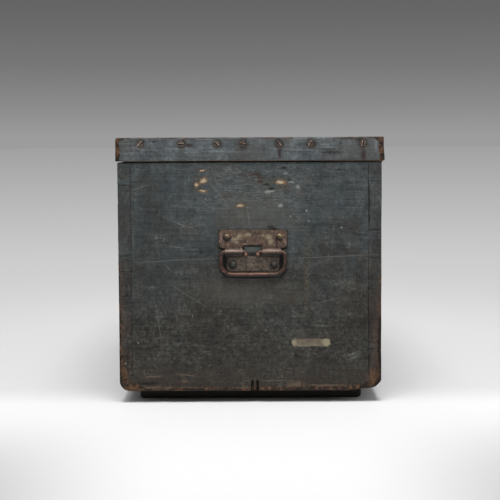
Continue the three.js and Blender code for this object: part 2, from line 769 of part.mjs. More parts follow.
// The lock: its case, the bolt drawn back inside it, the link on the lid that the bolt passes through, and
// the escutcheon round the keyhole.
function lockParts() {
  const half = lockWidth / 2;
  const [outer, inner] = [lockMiddleY - lockDepth / 2, lockMiddleY + lockDepth / 2];
  const low = wallTop - lockHeight;
  const mouthX = linkThickness / 2 + linkPlay;
  const mouthY = linkWidth / 2 + linkPlay;
  const lockCase = block([-half, outer, low], [half, inner, wallTop])
    .subtract(
      block(
        [-half + lockPlate, outer + lockPlate, low + lockPlate],
        [half - lockPlate, inner - lockPlate, wallTop - lockPlate],
      ),
    )
    .subtract(
      block(
        [-mouthX, lockMiddleY - mouthY, wallTop - lockPlate - overrun],
        [mouthX, lockMiddleY + mouthY, wallTop + overrun],
      ),
    )
    .subtract(keyhole());
  const noseTip = -linkThickness / 2 - boltBack;
  const noseRoot = noseTip - boltNoseLength;
  const boltTop = boltMiddleZ + boltNoseHeight / 2;
  const bodyY = lockDepth / 2 - lockPlate - jointGap;
  const bolt = block(
    [noseRoot - boltBodyLength, lockMiddleY - bodyY, boltTop - boltBodyHeight],
    [noseRoot, lockMiddleY + bodyY, boltTop],
  ).add(
    block(
      [noseRoot - boltBodyLength / 2, lockMiddleY - boltNose / 2, boltTop - boltNoseHeight],
      [noseTip, lockMiddleY + boltNose / 2, boltTop],
    ),
  );
  const plateHalfY = linkPlateWidth / 2;
  const link = block(
    [-linkPlateLength / 2, lockMiddleY - plateHalfY, lidBottom],
    [linkPlateLength / 2, lockMiddleY + plateHalfY, lidBottom + linkPlateThickness],
  )
    .add(
      block(
        [-linkThickness / 2, lockMiddleY - linkWidth / 2, lidBottom - linkDrop],
        [linkThickness / 2, lockMiddleY + linkWidth / 2, lidBottom + linkPlateThickness / 2],
      ),
    )
    .subtract(
      block(
        [-linkThickness, lockMiddleY - eyeWidth / 2, boltMiddleZ - eyeHeight / 2],
        [linkThickness, lockMiddleY + eyeWidth / 2, boltMiddleZ + eyeHeight / 2],
      ),
    );
  const shieldZ = wallTop - keyholeDrop - (keyholeLength - keyholeRadius) / 2;
  const shield = new THREE.Shape();
  shield.absellipse(0, shieldZ, escutcheonWidth / 2, escutcheonHeight / 2, 0, 2 * Math.PI, false, 0);
  const escutcheon = prismY(shield, -halfDepth - escutcheonThickness, -halfDepth, 10);
  return [
    meshOf("lock_case", lockCase, wornSteel),
    meshOf("lock_bolt", bolt, wornSteel),
    meshOf("lock_link", link, wornSteel),
    meshOf("keyhole_escutcheon", escutcheon.subtract(keyhole()), oldBrass),
  ];
}

// A till against the back wall: four boards on a floor that stands on the runners.
function till(name, halfX, baseZ, sideHeight) {
  const back = halfDepth - sideWall - tillRest;
  const front = back - tillDepth;
  const [z0, z1] = [baseZ + tillFloor + jointGap, baseZ + tillFloor + jointGap + sideHeight];
  const [endFront, endBack] = [front + tillBoard + jointGap, back - tillBoard - jointGap];
  const part = (piece, a, b) => meshOf(`${name}_till_${piece}`, block(a, b), barePine);
  return [
    part("floor", [-halfX, front, baseZ], [halfX, back, baseZ + tillFloor]),
    part("front", [-halfX, front, z0], [halfX, front + tillBoard, z1]),
    part("back", [-halfX, back - tillBoard, z0], [halfX, back, z1]),
    part("left_end", [-halfX, endFront, z0], [-halfX + tillBoard, endBack, z1]),
    part("right_end", [halfX - tillBoard, endFront, z0], [halfX, endBack, z1]),
  ];
}

// The stepped runner on one end wall. The lower till stands on its lower step and the upper till on top.
function tillRunner(end, name) {
  const wall = halfLength - endWall;
  const low = lowerRunnerTop - lowerRunnerHeight;
  const outline = polygon(
    [
      [insideHalfLength, low],
      [insideHalfLength, upperRunnerTop],
      [wall - upperRunner, upperRunnerTop],
      [wall - upperRunner, lowerRunnerTop],
      [wall - lowerRunner, lowerRunnerTop],
      [wall - lowerRunner, low],
    ].map(([x, z]) => [end * x, z]),
  );
  return meshOf(`${name}_till_runner`, prismY(outline, -insideHalfDepth, insideHalfDepth), barePine);
}

const pieces = [
  ...sideBoards(-1, "front", frontJointShare, [lockSeat(), keyhole()]),
  ...sideBoards(1, "back", backJointShare, [-1, 1].map(caseLeafSeat)),
  ...endBoards(1, "right"),
  ...endBoards(-1, "left"),
  ...floorBoards(),
  skid(1, "right"),
  skid(-1, "left"),
  ...lidParts(),
  ...rimScrews(),
  ...hinge(1, "right"),
  ...hinge(-1, "left"),
  handle(1, "right"),
  handle(-1, "left"),
  ...lockParts(),
  ...till("upper", halfLength - endWall - tillPlay, upperRunnerTop + jointGap, upperTillSide),
  ...till("lower", halfLength - endWall - upperRunner - tillPlay, lowerRunnerTop + jointGap, lowerTillSide),
  tillRunner(1, "right"),
  tillRunner(-1, "left"),
];

// The lid's rim reaches furthest to the front and the hinges' knuckles furthest to the back.
const assembly = new THREE.Group();
assembly.position.y = (lidHalfDepth - hingeAxisY - knuckleRadius) / 2;
assembly.add(...pieces);

const chest = new THREE.Group();
chest.add(assembly);
export default chest;
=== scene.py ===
# %% [markdown]
# # A painted pine tool chest, board by board
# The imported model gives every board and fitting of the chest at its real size, with sharp edges and
# no age. This lesson dresses it. Each board gets a skin of small faces, so that its edges can wear
# round and its faces can lie a little uneven, and every surface gets a finish made of nodes.

import json
import math

import bmesh
import bpy
import numpy as np
from mathutils import Matrix, Vector

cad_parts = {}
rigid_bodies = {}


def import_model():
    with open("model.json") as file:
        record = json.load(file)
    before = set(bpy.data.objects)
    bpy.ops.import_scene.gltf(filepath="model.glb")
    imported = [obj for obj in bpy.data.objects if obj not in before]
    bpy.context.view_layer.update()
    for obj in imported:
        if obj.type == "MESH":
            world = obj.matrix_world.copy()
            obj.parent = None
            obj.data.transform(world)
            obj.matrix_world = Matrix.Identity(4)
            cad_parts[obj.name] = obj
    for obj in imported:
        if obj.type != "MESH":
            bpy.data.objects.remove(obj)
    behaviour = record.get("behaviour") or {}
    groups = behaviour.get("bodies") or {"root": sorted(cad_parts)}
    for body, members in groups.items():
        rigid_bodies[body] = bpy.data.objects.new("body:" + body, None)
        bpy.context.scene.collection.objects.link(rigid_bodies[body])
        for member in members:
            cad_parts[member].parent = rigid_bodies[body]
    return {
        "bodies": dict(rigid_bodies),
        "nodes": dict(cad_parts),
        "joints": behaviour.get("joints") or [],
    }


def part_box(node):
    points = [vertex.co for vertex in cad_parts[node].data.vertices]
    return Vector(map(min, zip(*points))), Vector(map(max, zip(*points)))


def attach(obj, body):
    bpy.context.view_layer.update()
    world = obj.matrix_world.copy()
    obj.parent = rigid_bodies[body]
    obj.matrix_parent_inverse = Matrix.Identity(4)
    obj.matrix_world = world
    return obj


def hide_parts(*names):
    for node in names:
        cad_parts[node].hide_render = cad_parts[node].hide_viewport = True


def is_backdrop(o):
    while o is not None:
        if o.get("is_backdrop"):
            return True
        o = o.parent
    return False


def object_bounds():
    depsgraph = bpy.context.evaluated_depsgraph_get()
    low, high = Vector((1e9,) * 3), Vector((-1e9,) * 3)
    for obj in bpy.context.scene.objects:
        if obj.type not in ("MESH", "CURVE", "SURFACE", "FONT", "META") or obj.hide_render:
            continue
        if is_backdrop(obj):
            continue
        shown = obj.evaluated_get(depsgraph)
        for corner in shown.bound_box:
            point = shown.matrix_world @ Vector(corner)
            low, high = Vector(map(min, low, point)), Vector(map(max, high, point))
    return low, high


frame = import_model()
cad_low, cad_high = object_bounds()
mm = 0.001
print(f"{len(frame['nodes'])} pieces in {len(frame['bodies'])} bodies")

# %% [markdown]
# ## Sizes
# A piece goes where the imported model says, so sizes are read from its boxes wherever a box can tell
# them. What a box can't tell, such as the slope of a dovetail, has a name here.


# %% Read the main sizes
def span(*names):
    """Lowest and highest corner of several nodes together, as two arrays."""
    corners = np.array([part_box(name) for name in names])
    return corners[:, 0].min(0), corners[:, 1].max(0)


sides, levels = ("right", "left"), ("upper", "lower")
case_walls = [f"{side}_{part}_board" for side in ("front", "back") for part in levels]
end_boards = [f"{side}_end_{part}_board" for side in sides for part in levels]
floor_boards = [f"floor_board_{i}" for i in range(1, 7)]
lid_rims = [f"lid_rim_{side}" for side in (*sides, "front", "back")]
wall_low, wall_high = span(*case_walls, *end_boards)
case_low, case_high = span(*case_walls, *end_boards, *floor_boards)
lid_low, lid_high = span(*lid_rims)
case_middle, case_half = (case_low + case_high) / 2, (case_high - case_low) / 2
lid_middle, lid_half = (lid_low + lid_high) / 2, (lid_high - lid_low) / 2
wall_height = wall_high[2] - wall_low[2]
joint_gap = 0.3 * mm
board_thickness = 22 * mm
pin_tip = 12 * mm  # a dovetail pin's height at the end face
pin_flare = 3.6 * mm  # what it gains above and below on its way in
front_pin_shares = [0.088, 0.417, 0.635, 0.83]  # of the wall's height, down from its top edge
back_pin_shares = [0.072, 0.333, 0.56, 0.849]
print(f"case {2 * case_half * 1000} mm, lid {2 * lid_half * 1000} mm")

# %% [markdown]
# ## The camera
# The photograph looks square on at the right end, from the height of the lid and a little downwards.
# The handle's plate and the case's depth give its scale, and the way the sides draw in towards the
# ground gives its distance. A ray through a pixel then finds the place of any mark on the chest.

# %% Camera
photo_size = 500  # pixels each way
focal_length = 1421  # pixels
camera_distance = 2.4  # from the face of the right end
camera_pitch = math.radians(4.55)
camera_roll = math.radians(0.27)
sensor = 36

camera = bpy.data.objects.new("camera", bpy.data.cameras.new("camera"))
camera.data.sensor_width = sensor
camera.data.lens = sensor * focal_length / photo_size
camera.matrix_world = (
    Matrix.Translation((case_high[0] + camera_distance, case_middle[1], lid_high[2]))
    @ Matrix.Rotation(math.radians(90), 4, "Z")
    @ Matrix.Rotation(math.radians(90) - camera_pitch, 4, "X")
    @ Matrix.Rotation(-camera_roll, 4, "Z")
)
bpy.context.scene.collection.objects.link(camera)
bpy.context.scene.camera = camera


def seen_at(px, py, x):
    """Where the ray through a pixel of the photograph meets the upright plane at x."""
    across, up = px - photo_size / 2, photo_size / 2 - py
    start = camera.matrix_world.translation
    ray = camera.matrix_world.to_3x3() @ Vector((across, up, -focal_length))
    return np.array(start + ray * ((x - start.x) / ray.x))


print("pixel 250, 250 meets the end at", seen_at(250, 250, case_high[0]).round(4))

# %% [markdown]
# ## Noise and the making of a mesh
# Old wood is uneven at every scale, from a board's slow twist to the nicks along an edge. Noise made
# of hashed numbers on a grid gives that, for a whole array of points at once, and always the same.
# Every piece goes through one function, which turns arrays into a closed mesh that faces outwards.


# %% Helpers for points and meshes
sharp_angle = 38  # degrees from which an edge counts as sharp


def noise(points, size, seed):
    """Smooth noise from -1 to 1: each corner of a grid with the given spacing, in millimetres, has a hashed
    number, and a point takes the mean of its cell's eight corners, each weighted by 3t^2 - 2t^3 along
    every axis."""
    cell = np.floor(points / (size * mm)).astype(np.int64)
    t = points / (size * mm) - cell
    t = t * t * (3 - 2 * t)
    total = np.zeros(points.shape[:-1])
    for corner in np.ndindex(2, 2, 2):
        key = (cell + corner) @ np.array([73856093, 19349663, 83492791]) + seed * 40503
        key = (key ^ (key >> 13)) * 1274126177
        value = ((key ^ (key >> 16)) & 0xFFFF) / 0xFFFF
        total += value * np.prod(np.where(corner, t, 1 - t), axis=-1)
    return 2 * total - 1


def smooth(value, low, high):
    """0 below low, 1 above high and 3t^2 - 2t^3 between."""
    t = np.clip((value - low) / (high - low), 0, 1)
    return t * t * (3 - 2 * t)


def soft_edges(piece, width, angle=sharp_angle):
    """Takes the sharpness off a piece's edges, which take its first material."""
    bevel = piece.modifiers.new("soft_edges", "BEVEL")
    bevel.width = width
    bevel.segments = 2
    bevel.limit_method = "ANGLE"
    bevel.angle_limit = math.radians(angle)
    bevel.material = 0


def add_piece(name, points, faces, body, slot, replaced=(), kinds=None, wear=None, bevel=0):
    """A closed mesh object from arrays of points and faces. Points that lie together are merged, so poles
    close, and the faces are turned outwards. kinds is each face's material, and the wear number each
    point's wear or, on the handles' ironwork, mostly its painted highlight and shade."""
    mesh = bpy.data.meshes.new(name)
    mesh.vertices.add(len(points))
    mesh.vertices.foreach_set("co", points.astype(np.float32).ravel())
    mesh.loops.add(faces.size)
    mesh.loops.foreach_set("vertex_index", faces.astype(np.int32).ravel())
    mesh.polygons.add(len(faces))
    starts = np.arange(0, faces.size, faces.shape[1], dtype=np.int32)
    mesh.polygons.foreach_set("loop_start", starts)
    if kinds is not None:
        mesh.polygons.foreach_set("material_index", kinds.astype(np.int32))
    if wear is not None:
        attribute = mesh.attributes.new("wear", "FLOAT", "POINT")
        attribute.data.foreach_set("value", wear.astype(np.float32))
    mesh.update(calc_edges=True)
    shell = bmesh.new()
    shell.from_mesh(mesh)
    bmesh.ops.remove_doubles(shell, verts=shell.verts, dist=2e-6)
    bmesh.ops.recalc_face_normals(shell, faces=shell.faces)
    shell.to_mesh(mesh)
    shell.free()
    mesh.shade_smooth()
    mesh.set_sharp_from_angle(angle=math.radians(sharp_angle))
    piece = bpy.data.objects.new(name, mesh)
    bpy.context.scene.collection.objects.link(piece)
    if bevel:
        soft_edges(piece, bevel)
    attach(piece, body)
    if replaced:
        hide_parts(*replaced)
    return piece


print("noise at three places:", noise(np.eye(3), 70, 1).round(2))

# %% [markdown]
# ## A board as a block of cells
# A board with dovetails is a block cut into cells by lines along its three directions. Sockets and
# windows are cells left out. The skin is every face between a cell that is there and one that isn't,
# which numpy finds for the whole block at once. This keeps the faces even, so they can be worn.


# %% Helpers for blocks of cells
def lines(low, high, step, near=(0,)):
    """Places from low to high about one step apart, with more of them at the distances near from both
    ends. The step and the distances are in millimetres."""
    near = np.array(near) * mm
    count = max(2, round((high - low - 2 * near[-1]) / (step * mm)) + 1)
    middle = np.linspace(low + near[-1], high - near[-1], count)
    return np.concatenate([low + near[:-1], middle, high - near[:-1][::-1]])


def skin(solid):
    """Faces between filled and empty cells, as numbers of grid points, and the way each one looks:
    0 and 1 are down and up along the first axis, 2 and 3 along the second, 4 and 5 along the third."""
    counts = [n + 1 for n in solid.shape]
    number = np.arange(np.prod(counts)).reshape(counts)
    filled = np.pad(solid, 1)
    faces, ways = [], []
    for axis in range(3):
        cells = np.moveaxis(filled, axis, 0)[:, 1:-1, 1:-1]
        c = np.moveaxis(number, axis, 0)
        squares = np.stack([c[:, :-1, :-1], c[:, 1:, :-1], c[:, 1:, 1:], c[:, :-1, 1:]], axis=-1)
        for way, shown in enumerate([cells[1:] & ~cells[:-1], cells[:-1] & ~cells[1:]]):
            faces.append(squares[shown])
            ways.append(np.full(shown.sum(), 2 * axis + way))
    return np.concatenate(faces), np.concatenate(ways)


def used_only(points, faces):
    """The points that faces use, and the faces in their new numbers."""
    used, faces = np.unique(faces, return_inverse=True)
    return points.reshape(-1, 3)[used], faces.reshape(-1, 4)


def add_block(node, points, kinds, weather, body, slot, solid=None, bevel=0.5 * mm, made="worn"):
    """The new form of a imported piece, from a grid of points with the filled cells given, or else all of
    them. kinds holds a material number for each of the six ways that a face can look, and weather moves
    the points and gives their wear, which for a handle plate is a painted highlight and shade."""
    faces, ways = skin(np.ones([n - 1 for n in points.shape[:3]], bool) if solid is None else solid)
    points, faces = used_only(points, faces)
    moved, wear = weather(points)
    return add_piece(f"{made}_{node}", moved, faces, body, slot, [node], np.array(kinds)[ways], wear, bevel)


def grid(x, y, z):
    """Points on a grid of three rows of numbers."""
    return np.stack(np.meshgrid(x, y, z, indexing="ij"), axis=-1)


print("places along 100 mm:", (lines(0, 100 * mm, 30, (0, 5)) / mm).round(1))

# %% [markdown]
# ## How the case has worn
# The case stood on cobbles and van floors, so its bottom corners are knocked round, most at the four
# ends, while the upright edges only lost their sharpness. All the boards of the case are moved by one
# function of place, so that a joint stays closed where two boards wear together. Nothing grows past
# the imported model's box: every move is inwards.

# %% Wear of the case
front_corner_wear, back_corner_wear, long_edge_wear = 19 * mm, 20 * mm, 6 * mm
wear_reach = 120 * mm  # how far along the chest the corner's rounding fades
upright_wear, end_edge_wear, top_edge_wear = 2.6 * mm, 3.5 * mm, 1.6 * mm
back_lift = 5 * mm  # how far the bottom's back corner at the right end is worn up
front_nicks = [(346, 3.5, 5), (388, 5, 3), (371, 3, 2.5)]  # height, half height and depth, in mm


def round_edge(a, b, radius):
    """Pulls the square edge between two faces onto an arc. a and b are the depths below the two faces.
    Inside the radius, u and v count from the arc's middle, and both shrink by max(u, v) / hypot(u, v)."""
    u, v = np.clip([radius - a, radius - b], 0, None)
    longer = np.maximum(u, v)
    shrink = 1 - np.divide(longer, np.hypot(u, v), out=np.ones_like(u), where=longer > 0)
    return a + u * shrink, b + v * shrink


def settle(points, middle, half, *rounds):
    """Draws points towards the middle by noise, up to an amount at the faces of the box. Each round has
    its amount and the noise's size, both in millimetres, and a seed."""
    for amount, size, seed in rounds:
        shift = np.stack([noise(points, size, seed + k) for k in range(3)], axis=-1)
        points = middle + (points - middle) * (1 - amount * mm * (1 + shift) / 2 / half)
    return points


def drawn_in(points, middle, half, end, side, up=0):
    """Points moved to the given depths inside the ends and the sides of a box, and up."""
    x, y, z = points.T
    new_x = middle[0] + np.sign(x - middle[0]) * (half[0] - end)
    new_y = middle[1] + np.sign(y - middle[1]) * (half[1] - side)
    return np.stack([new_x, new_y, z + up], axis=-1)


def weather_case(points):
    """Worn places of points on the case, and their wear: how far inside the bared wood each one is, in
    millimetres, with nothing less than zero bared."""
    x, y, z = (points - case_middle).T
    at_end = case_half[0] - np.abs(x)
    at_side = case_half[1] - np.abs(y)
    up = points[:, 2] - case_low[2]
    down = wall_high[2] - points[:, 2]
    nicked = 1 + 0.45 * noise(points, 26, 11) + 0.3 * noise(points, 9, 12)
    corner = np.where(y < 0, front_corner_wear, back_corner_wear)
    to_corner = np.clip(1 - at_end / wear_reach, 0, 1)
    bottom = long_edge_wear + (corner - long_edge_wear) * to_corner**2
    bites = np.clip(noise(points, 13, 13) - 0.55, 0, 1) * 8 * mm
    for height, half, depth in np.array(front_nicks) * mm:
        bites += ((y < 0) & (x > 0)) * depth * np.exp(-(((points[:, 2] - height) / half) ** 2))

    edge = np.sort(np.stack([at_end, at_side, up]), axis=0)[1]
    low_down = smooth(-points[:, 2], -0.26, -0.12)
    knocked = np.exp(-((np.hypot(at_side, up) / (34 * mm)) ** 2)) * smooth(-at_end, -0.1, 0)
    patchy = 0.5 + 0.5 * noise(points, 70, 14)
    bared = (0.2 + 5.0 * low_down + 2.6 * smooth(-up, -0.03, 0) * patchy + 16 * knocked) * mm
    wear = (bared + bites - edge) / mm

    moved_end, moved_side = round_edge(at_end, at_side, upright_wear * nicked + bites)
    moved_side, moved_up = round_edge(moved_side, up, bottom * (0.9 + 0.1 * nicked))
    moved_end, moved_up = round_edge(moved_end, moved_up, end_edge_wear * nicked)
    moved_side, moved_down = round_edge(moved_side, down, top_edge_wear * nicked)
    moved_end, moved_down = round_edge(moved_end, moved_down, top_edge_wear * nicked)
    lift = back_lift * smooth(y, 0.155, 0.225) * smooth(x, 0.3, 0.42) * smooth(-up, -0.03, 0)
    raised = (moved_up - up) - (moved_down - down) + lift
    moved = drawn_in(points, case_middle, case_half, moved_end, moved_side, raised)
    return settle(moved, case_middle, case_half, (0.9, 110, 20), (0.45, 22, 30)), wear


worn_corner = weather_case(np.array([case_low, case_high]))[0]
print("two corners of the case move by, in mm:", ((worn_corner - [case_low, case_high]) / mm).round(1))

# %% [markdown]
# ## Dovetailed walls
# The corners are through dovetails. The ends carry the pins, which widen inwards, and the front and
# back carry the tails, so from the end one sees narrow pins with square blocks of end grain between.
# The heights of the pins' edges are lines across the board that slope with the flare, and the rows
# of cells follow them. A board's own kind of cell, pin or socket, is then kept or left out.


# %% Heights of the pins
def pin_edges(part, shares, joint, spread):
    """Heights of a board's lower edge, its pins' edges and its upper edge, from below. joint is the height
    where the upper and lower boards meet, and spread is half a pin's height, for each place."""
    pins = [wall_high[2] - share * wall_height for share in shares]
    low, high = wall_low[2], wall_high[2]
    mine = sorted(pin for pin in pins if (pin > joint.mean()) == (part == "upper"))
    edges = [edge for pin in mine for edge in (pin - spread, pin + spread)]
    if part == "upper":
        rows = [joint + joint_gap / 2 + 0 * spread, *edges, high - spread, high + 0 * spread]
    else:
        rows = [low + 0 * spread, low + spread, *edges, joint - joint_gap / 2 + 0 * spread]
    return np.stack(rows)


def rows_between(keys, step):
    """Row numbers about one step apart: 2.5 is halfway from key 2 to key 3."""
    parts = np.maximum(1, np.round(np.diff(keys.reshape(len(keys), -1).mean(1)) / step)).astype(int)
    rows = [band + np.arange(count) / count for band, count in enumerate(parts)]
    return np.concatenate([*rows, [len(parts)]])


def heights_at(keys, rows):
    """Heights for row numbers, on a straight line between the two keys on either side of each."""
    low = np.minimum(rows.astype(int), len(keys) - 2)
    part = (rows - low)[:, None, None]
    return np.moveaxis(keys[low] * (1 - part) + keys[low + 1] * part, 0, -1)


def is_pin_row(rows, part):
    """Whether each band of cells between two rows belongs to a pin."""
    band = ((rows[1:] + rows[:-1]) / 2).astype(int)
    return band % 2 == (1 if part == "upper" else 0)


thickness_lines = (0, 1.1, 2.4, 4.2, 7, 11)
corner_lines = (0, 1.1, 2.4, 4.2, 7, 10, 13, 16, 19, 22.3, 26, 31)
pin_depth = corner_lines[9] * mm
print("pins go", pin_depth, "m into the corners")

# %% [markdown]
# A front or back board runs the whole length of the chest. The cells of its pins' rows are left out near
# both ends, which leaves the tails, and its ends take the finish of end grain.


# %% Front and back boards
def side_board(side, name, part):
    """One board of the front (side -1) or the back (side 1), with the sockets for the pins left out."""
    node = f"{name}_{part}_board"
    low, high = span(node)
    other_low, other_high = span(f"{name}_{'lower' if part == 'upper' else 'upper'}_board")
    joint = (low[2] + other_high[2]) / 2 if part == "upper" else (high[2] + other_low[2]) / 2
    x = lines(low[0], high[0], 8, corner_lines)
    depth = lines(0, board_thickness, 6, thickness_lines[:4])
    y = case_middle[1] + side * (case_half[1] - depth)
    inwards = np.clip(case_half[0] - np.abs(x), 0, board_thickness)
    spread = (pin_tip / 2 + joint_gap + pin_flare * inwards / board_thickness)[:, None]
    shares = front_pin_shares if side < 0 else back_pin_shares
    keys = pin_edges(part, shares, np.full((1, 1), joint), spread)
    rows = rows_between(keys, 5 * mm)
    points = grid(x, y, rows)
    points[..., 2] = heights_at(np.broadcast_to(keys, (len(keys), len(x), len(y))), rows)
    middles = (x[1:] + x[:-1]) / 2
    near_end = np.abs(middles) > case_half[0] - pin_depth
    socket = near_end[:, None] & is_pin_row(rows, part)[None]
    solid = np.repeat(~socket[:, None, :], len(y) - 1, axis=1)
    kinds = [3, 2, 0, 1, 1, 1]  # 0 is painted outside, 1 bare inside, 2 and 3 the painted ends
    return add_block(node, points, kinds, weather_case, "case", "painted_pine", solid)


walls = [side_board(side, name, part) for side, name in ((-1, "front"), (1, "back")) for part in levels]
print("front and back boards:", [len(wall.data.polygons) for wall in walls])


# %% [markdown]
# The two boards of an end meet on a slope, because a joiner used up tapered stock. Their rows of cells
# go from the front corner's pins to the back corner's. The right end is the one in the photograph,
# so it has the finer cells.

# %% End boards
joint_shares = 0.463, 0.426  # of the wall's height, down from its top edge, at the front and the back


def end_board(end, name, part):
    """One board of an end (1 right, -1 left), with only its pins kept beyond the shoulders."""
    node = f"{name}_end_{part}_board"
    step = 3.2 if end > 0 else 6
    y = lines(case_low[1], case_high[1], step, corner_lines)
    depth = lines(0, board_thickness, 6, thickness_lines[:4])
    x = end * (case_half[0] - depth)
    spread = (pin_tip / 2 + pin_flare * depth / board_thickness)[:, None]
    joints = [wall_high[2] - share * wall_height for share in joint_shares]
    slope = (joints[1] - joints[0]) / (2 * case_half[1])
    at_front, at_back = joints[0] + slope * pin_depth, joints[1] - slope * pin_depth
    front = pin_edges(part, front_pin_shares, np.full((1, 1), at_front), spread)
    back = pin_edges(part, back_pin_shares, np.full((1, 1), at_back), spread)
    shoulder = case_half[1] - pin_depth
    across = np.clip((y - case_middle[1] + shoulder) / (2 * shoulder), 0, 1)
    keys = front * (1 - across) + back * across
    rows = rows_between(keys, step * mm)
    points = grid(x, y, rows)
    points[..., 2] = heights_at(keys, rows)
    middles = np.abs((y[1:] + y[:-1]) / 2 - case_middle[1])
    kept = (middles < shoulder)[:, None] | is_pin_row(rows, part)[None]
    solid = np.repeat(kept[None], len(x) - 1, axis=0)
    return add_block(node, points, [0, 1, 2, 2, 1, 1], weather_case, "case", "painted_pine", solid)


ends = [end_board(end, name, part) for end, name in ((1, "right"), (-1, "left")) for part in levels]
print("end boards:", [len(end.data.polygons) for end in ends])

# %% [markdown]
# ## The bottom
# Six boards run the length of the chest under the walls, and their ends make the band at the foot of
# each end. Two battens keep them off the ground. A splinter has come away at one joint, so the ends
# of the two boards there are cut back by a pair of slots.

# %% Bottom boards and skids
splinter_row, splinter_depth = 386, 7 * mm  # the row is in pixels
splinter_columns = [(252.6, 1.0), (257.6, 0.9)]  # middle and half width, in pixels
splinter_top, splinter_foot = 38.5 * mm, 34 * mm  # the heights where a slot starts and is fully deep


def weather_floor(points):
    """The case's wear, with the lost splinters pushed in from the right end."""
    moved, wear = weather_case(points)
    for column, half in splinter_columns:
        middle = seen_at(column, splinter_row, case_high[0])[1]
        wide = seen_at(column + half, splinter_row, case_high[0])[1] - middle
        inside = smooth(-np.abs(points[:, 1] - middle), -1.6 * wide, -0.7 * wide)
        at_end = smooth(points[:, 0], case_high[0] - 8 * mm, case_high[0] - 1 * mm)
        below = smooth(-points[:, 2], -splinter_top, -splinter_foot)
        moved[:, 0] -= splinter_depth * inside * at_end * below
    return moved, wear


def floor_board(number):
    """One bottom board. Its top is bare inside the case, and its underside is dirty."""
    node = f"floor_board_{number}"
    low, high = span(node)
    step = 3.5 if number in (1, 6) else 5
    x = lines(low[0], high[0], 9, (0, 1.1, 2.4, 4.2, 7, 12, 18, 26))
    y = lines(low[1], high[1], step, (0, 1.1, 2.4, 3.6, 4.8, 6.2, 7.6, 9.4))
    z = lines(low[2], high[2], 3, (0, 1.2, 2.6, 4.4))
    return add_block(node, grid(x, y, z), [3, 2, 0, 0, 4, 1], weather_floor, "case", "bottom_pine")


batten_corner, batten_edge = 6 * mm, 2 * mm


def skid(name):
    """A batten across the underside, with soft edges that are rounder along its foot."""
    low, high = span(f"{name}_skid")
    middle, half = (low + high) / 2, (high - low) / 2

    def weather(points):
        at_side, at_front, _ = (half - np.abs(points - middle)).T
        up, down = points[:, 2] - low[2], high[2] - points[:, 2]
        rough = 1 + 0.4 * noise(points, 15, 41)
        new_front, new_up = round_edge(at_front, up, batten_corner * rough)
        new_side, new_up = round_edge(at_side, new_up, batten_edge * rough)
        new_side, new_front = round_edge(new_side, new_front, batten_edge * rough)
        moved = drawn_in(points, middle, half, new_side, new_front, new_up - up)
        edge = np.sort(np.stack([at_side, at_front, up, down]), axis=0)[1]
        return settle(moved, middle, half, (0.4, 20, 42)), 1.5 - edge / mm

    x = lines(low[0], high[0], 6, (0, 1.1, 2.4, 4.2))
    y = lines(low[1], high[1], 8, (0, 1.1, 2.4, 4.2, 6.4, 9))
    z = lines(low[2], high[2], 3, (0, 1.1, 2.4, 4.2, 6.4))
    return add_block(f"{name}_skid", grid(x, y, z), [0] * 6, weather, "case", "bottom_pine")


bottom = [floor_board(i) for i in range(1, 7)]
skids = [skid(name) for name in sides]
print("bottom boards and skids:", [len(piece.data.polygons) for piece in bottom + skids])

# %% [markdown]
# ## The lid
# Two boards lie inside a rim of four, and the end rims lap over the ends of the others. The rim's
# outer arrises are rubbed round, and each screw on the right has drawn the soft wood in to a shallow
# dish round its head. Beside one side of each slot the head carries a painted highlight.

# %% Lid
rim_drop = 11.8 * mm  # from the lid's top down to the screws
right_screws = sorted([f"right_rim_screw_{i}" for i in range(1, 8)], key=lambda name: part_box(name)[0].y)
right_screw_places = [np.mean(span(name), axis=0) for name in right_screws]
dish_depth, dish_radius = 1.5 * mm, 8 * mm
lid_flare = 1.6 * mm  # how far the back corner of the right rim has sprung outwards


def weather_lid(points):
    """Worn places of points on the lid, and their wear."""
    x, y, z = (points - lid_middle).T
    at_end, at_side = lid_half[0] - np.abs(x), lid_half[1] - np.abs(y)
    up, down = points[:, 2] - lid_low[2], lid_high[2] - points[:, 2]
    nicked = 1 + 0.4 * noise(points, 24, 51) + 0.3 * noise(points, 8, 52)
    bites = np.clip(noise(points, 12, 53) - 0.55, 0, 1) * 6 * mm
    edge = np.sort(np.stack([at_end, at_side, down]), axis=0)[1]
    at_corner = smooth(-np.hypot(at_side, at_end), -0.02, -0.003)
    elsewhere = smooth(-points[:, 0], -0.4, -0.3)
    bared = 0.9 + 1.5 * elsewhere + (7 + 4.5 * (y > 0)) * at_corner
    bared = (bared + 1.8 * noise(points, 60, 54)) * mm
    low_edge = (1.4 * noise(points, 45, 55) - 0.2) * mm - up
    wear = np.maximum(bared + bites - edge, low_edge) / mm

    a, b = round_edge(at_end, at_side, 4.4 * mm * nicked + bites)
    b, top = round_edge(b, down, 3.2 * mm * nicked + bites)
    a, top = round_edge(a, top, 2.8 * mm * nicked + bites)
    b, foot = round_edge(b, up, 1.7 * mm * nicked)
    a, foot = round_edge(a, foot, 1.7 * mm * nicked)
    moved = drawn_in(points, lid_middle, lid_half, a, b, (foot - up) - (top - down))
    return settle(moved, lid_middle, lid_half, (0.7, 90, 60), (0.35, 20, 70)), wear


def weather_right_rim(points):
    """The lid's wear, with a dish at each screw, and the sprung back corner."""
    moved, wear = weather_lid(points)
    outer = smooth(points[:, 0], lid_high[0] - 6 * mm, lid_high[0] - 1 * mm)
    for place in right_screw_places:
        away = np.hypot(points[:, 1] - place[1], points[:, 2] - place[2])
        moved[:, 0] -= dish_depth * np.exp(-((away / dish_radius) ** 4)) * outer
    across = points[:, 1] - lid_middle[1]
    sprung = smooth(across, 0.17, 0.227) * smooth(-points[:, 2], -0.44, -lid_low[2])
    moved[:, 1] += lid_flare * sprung
    return moved, wear


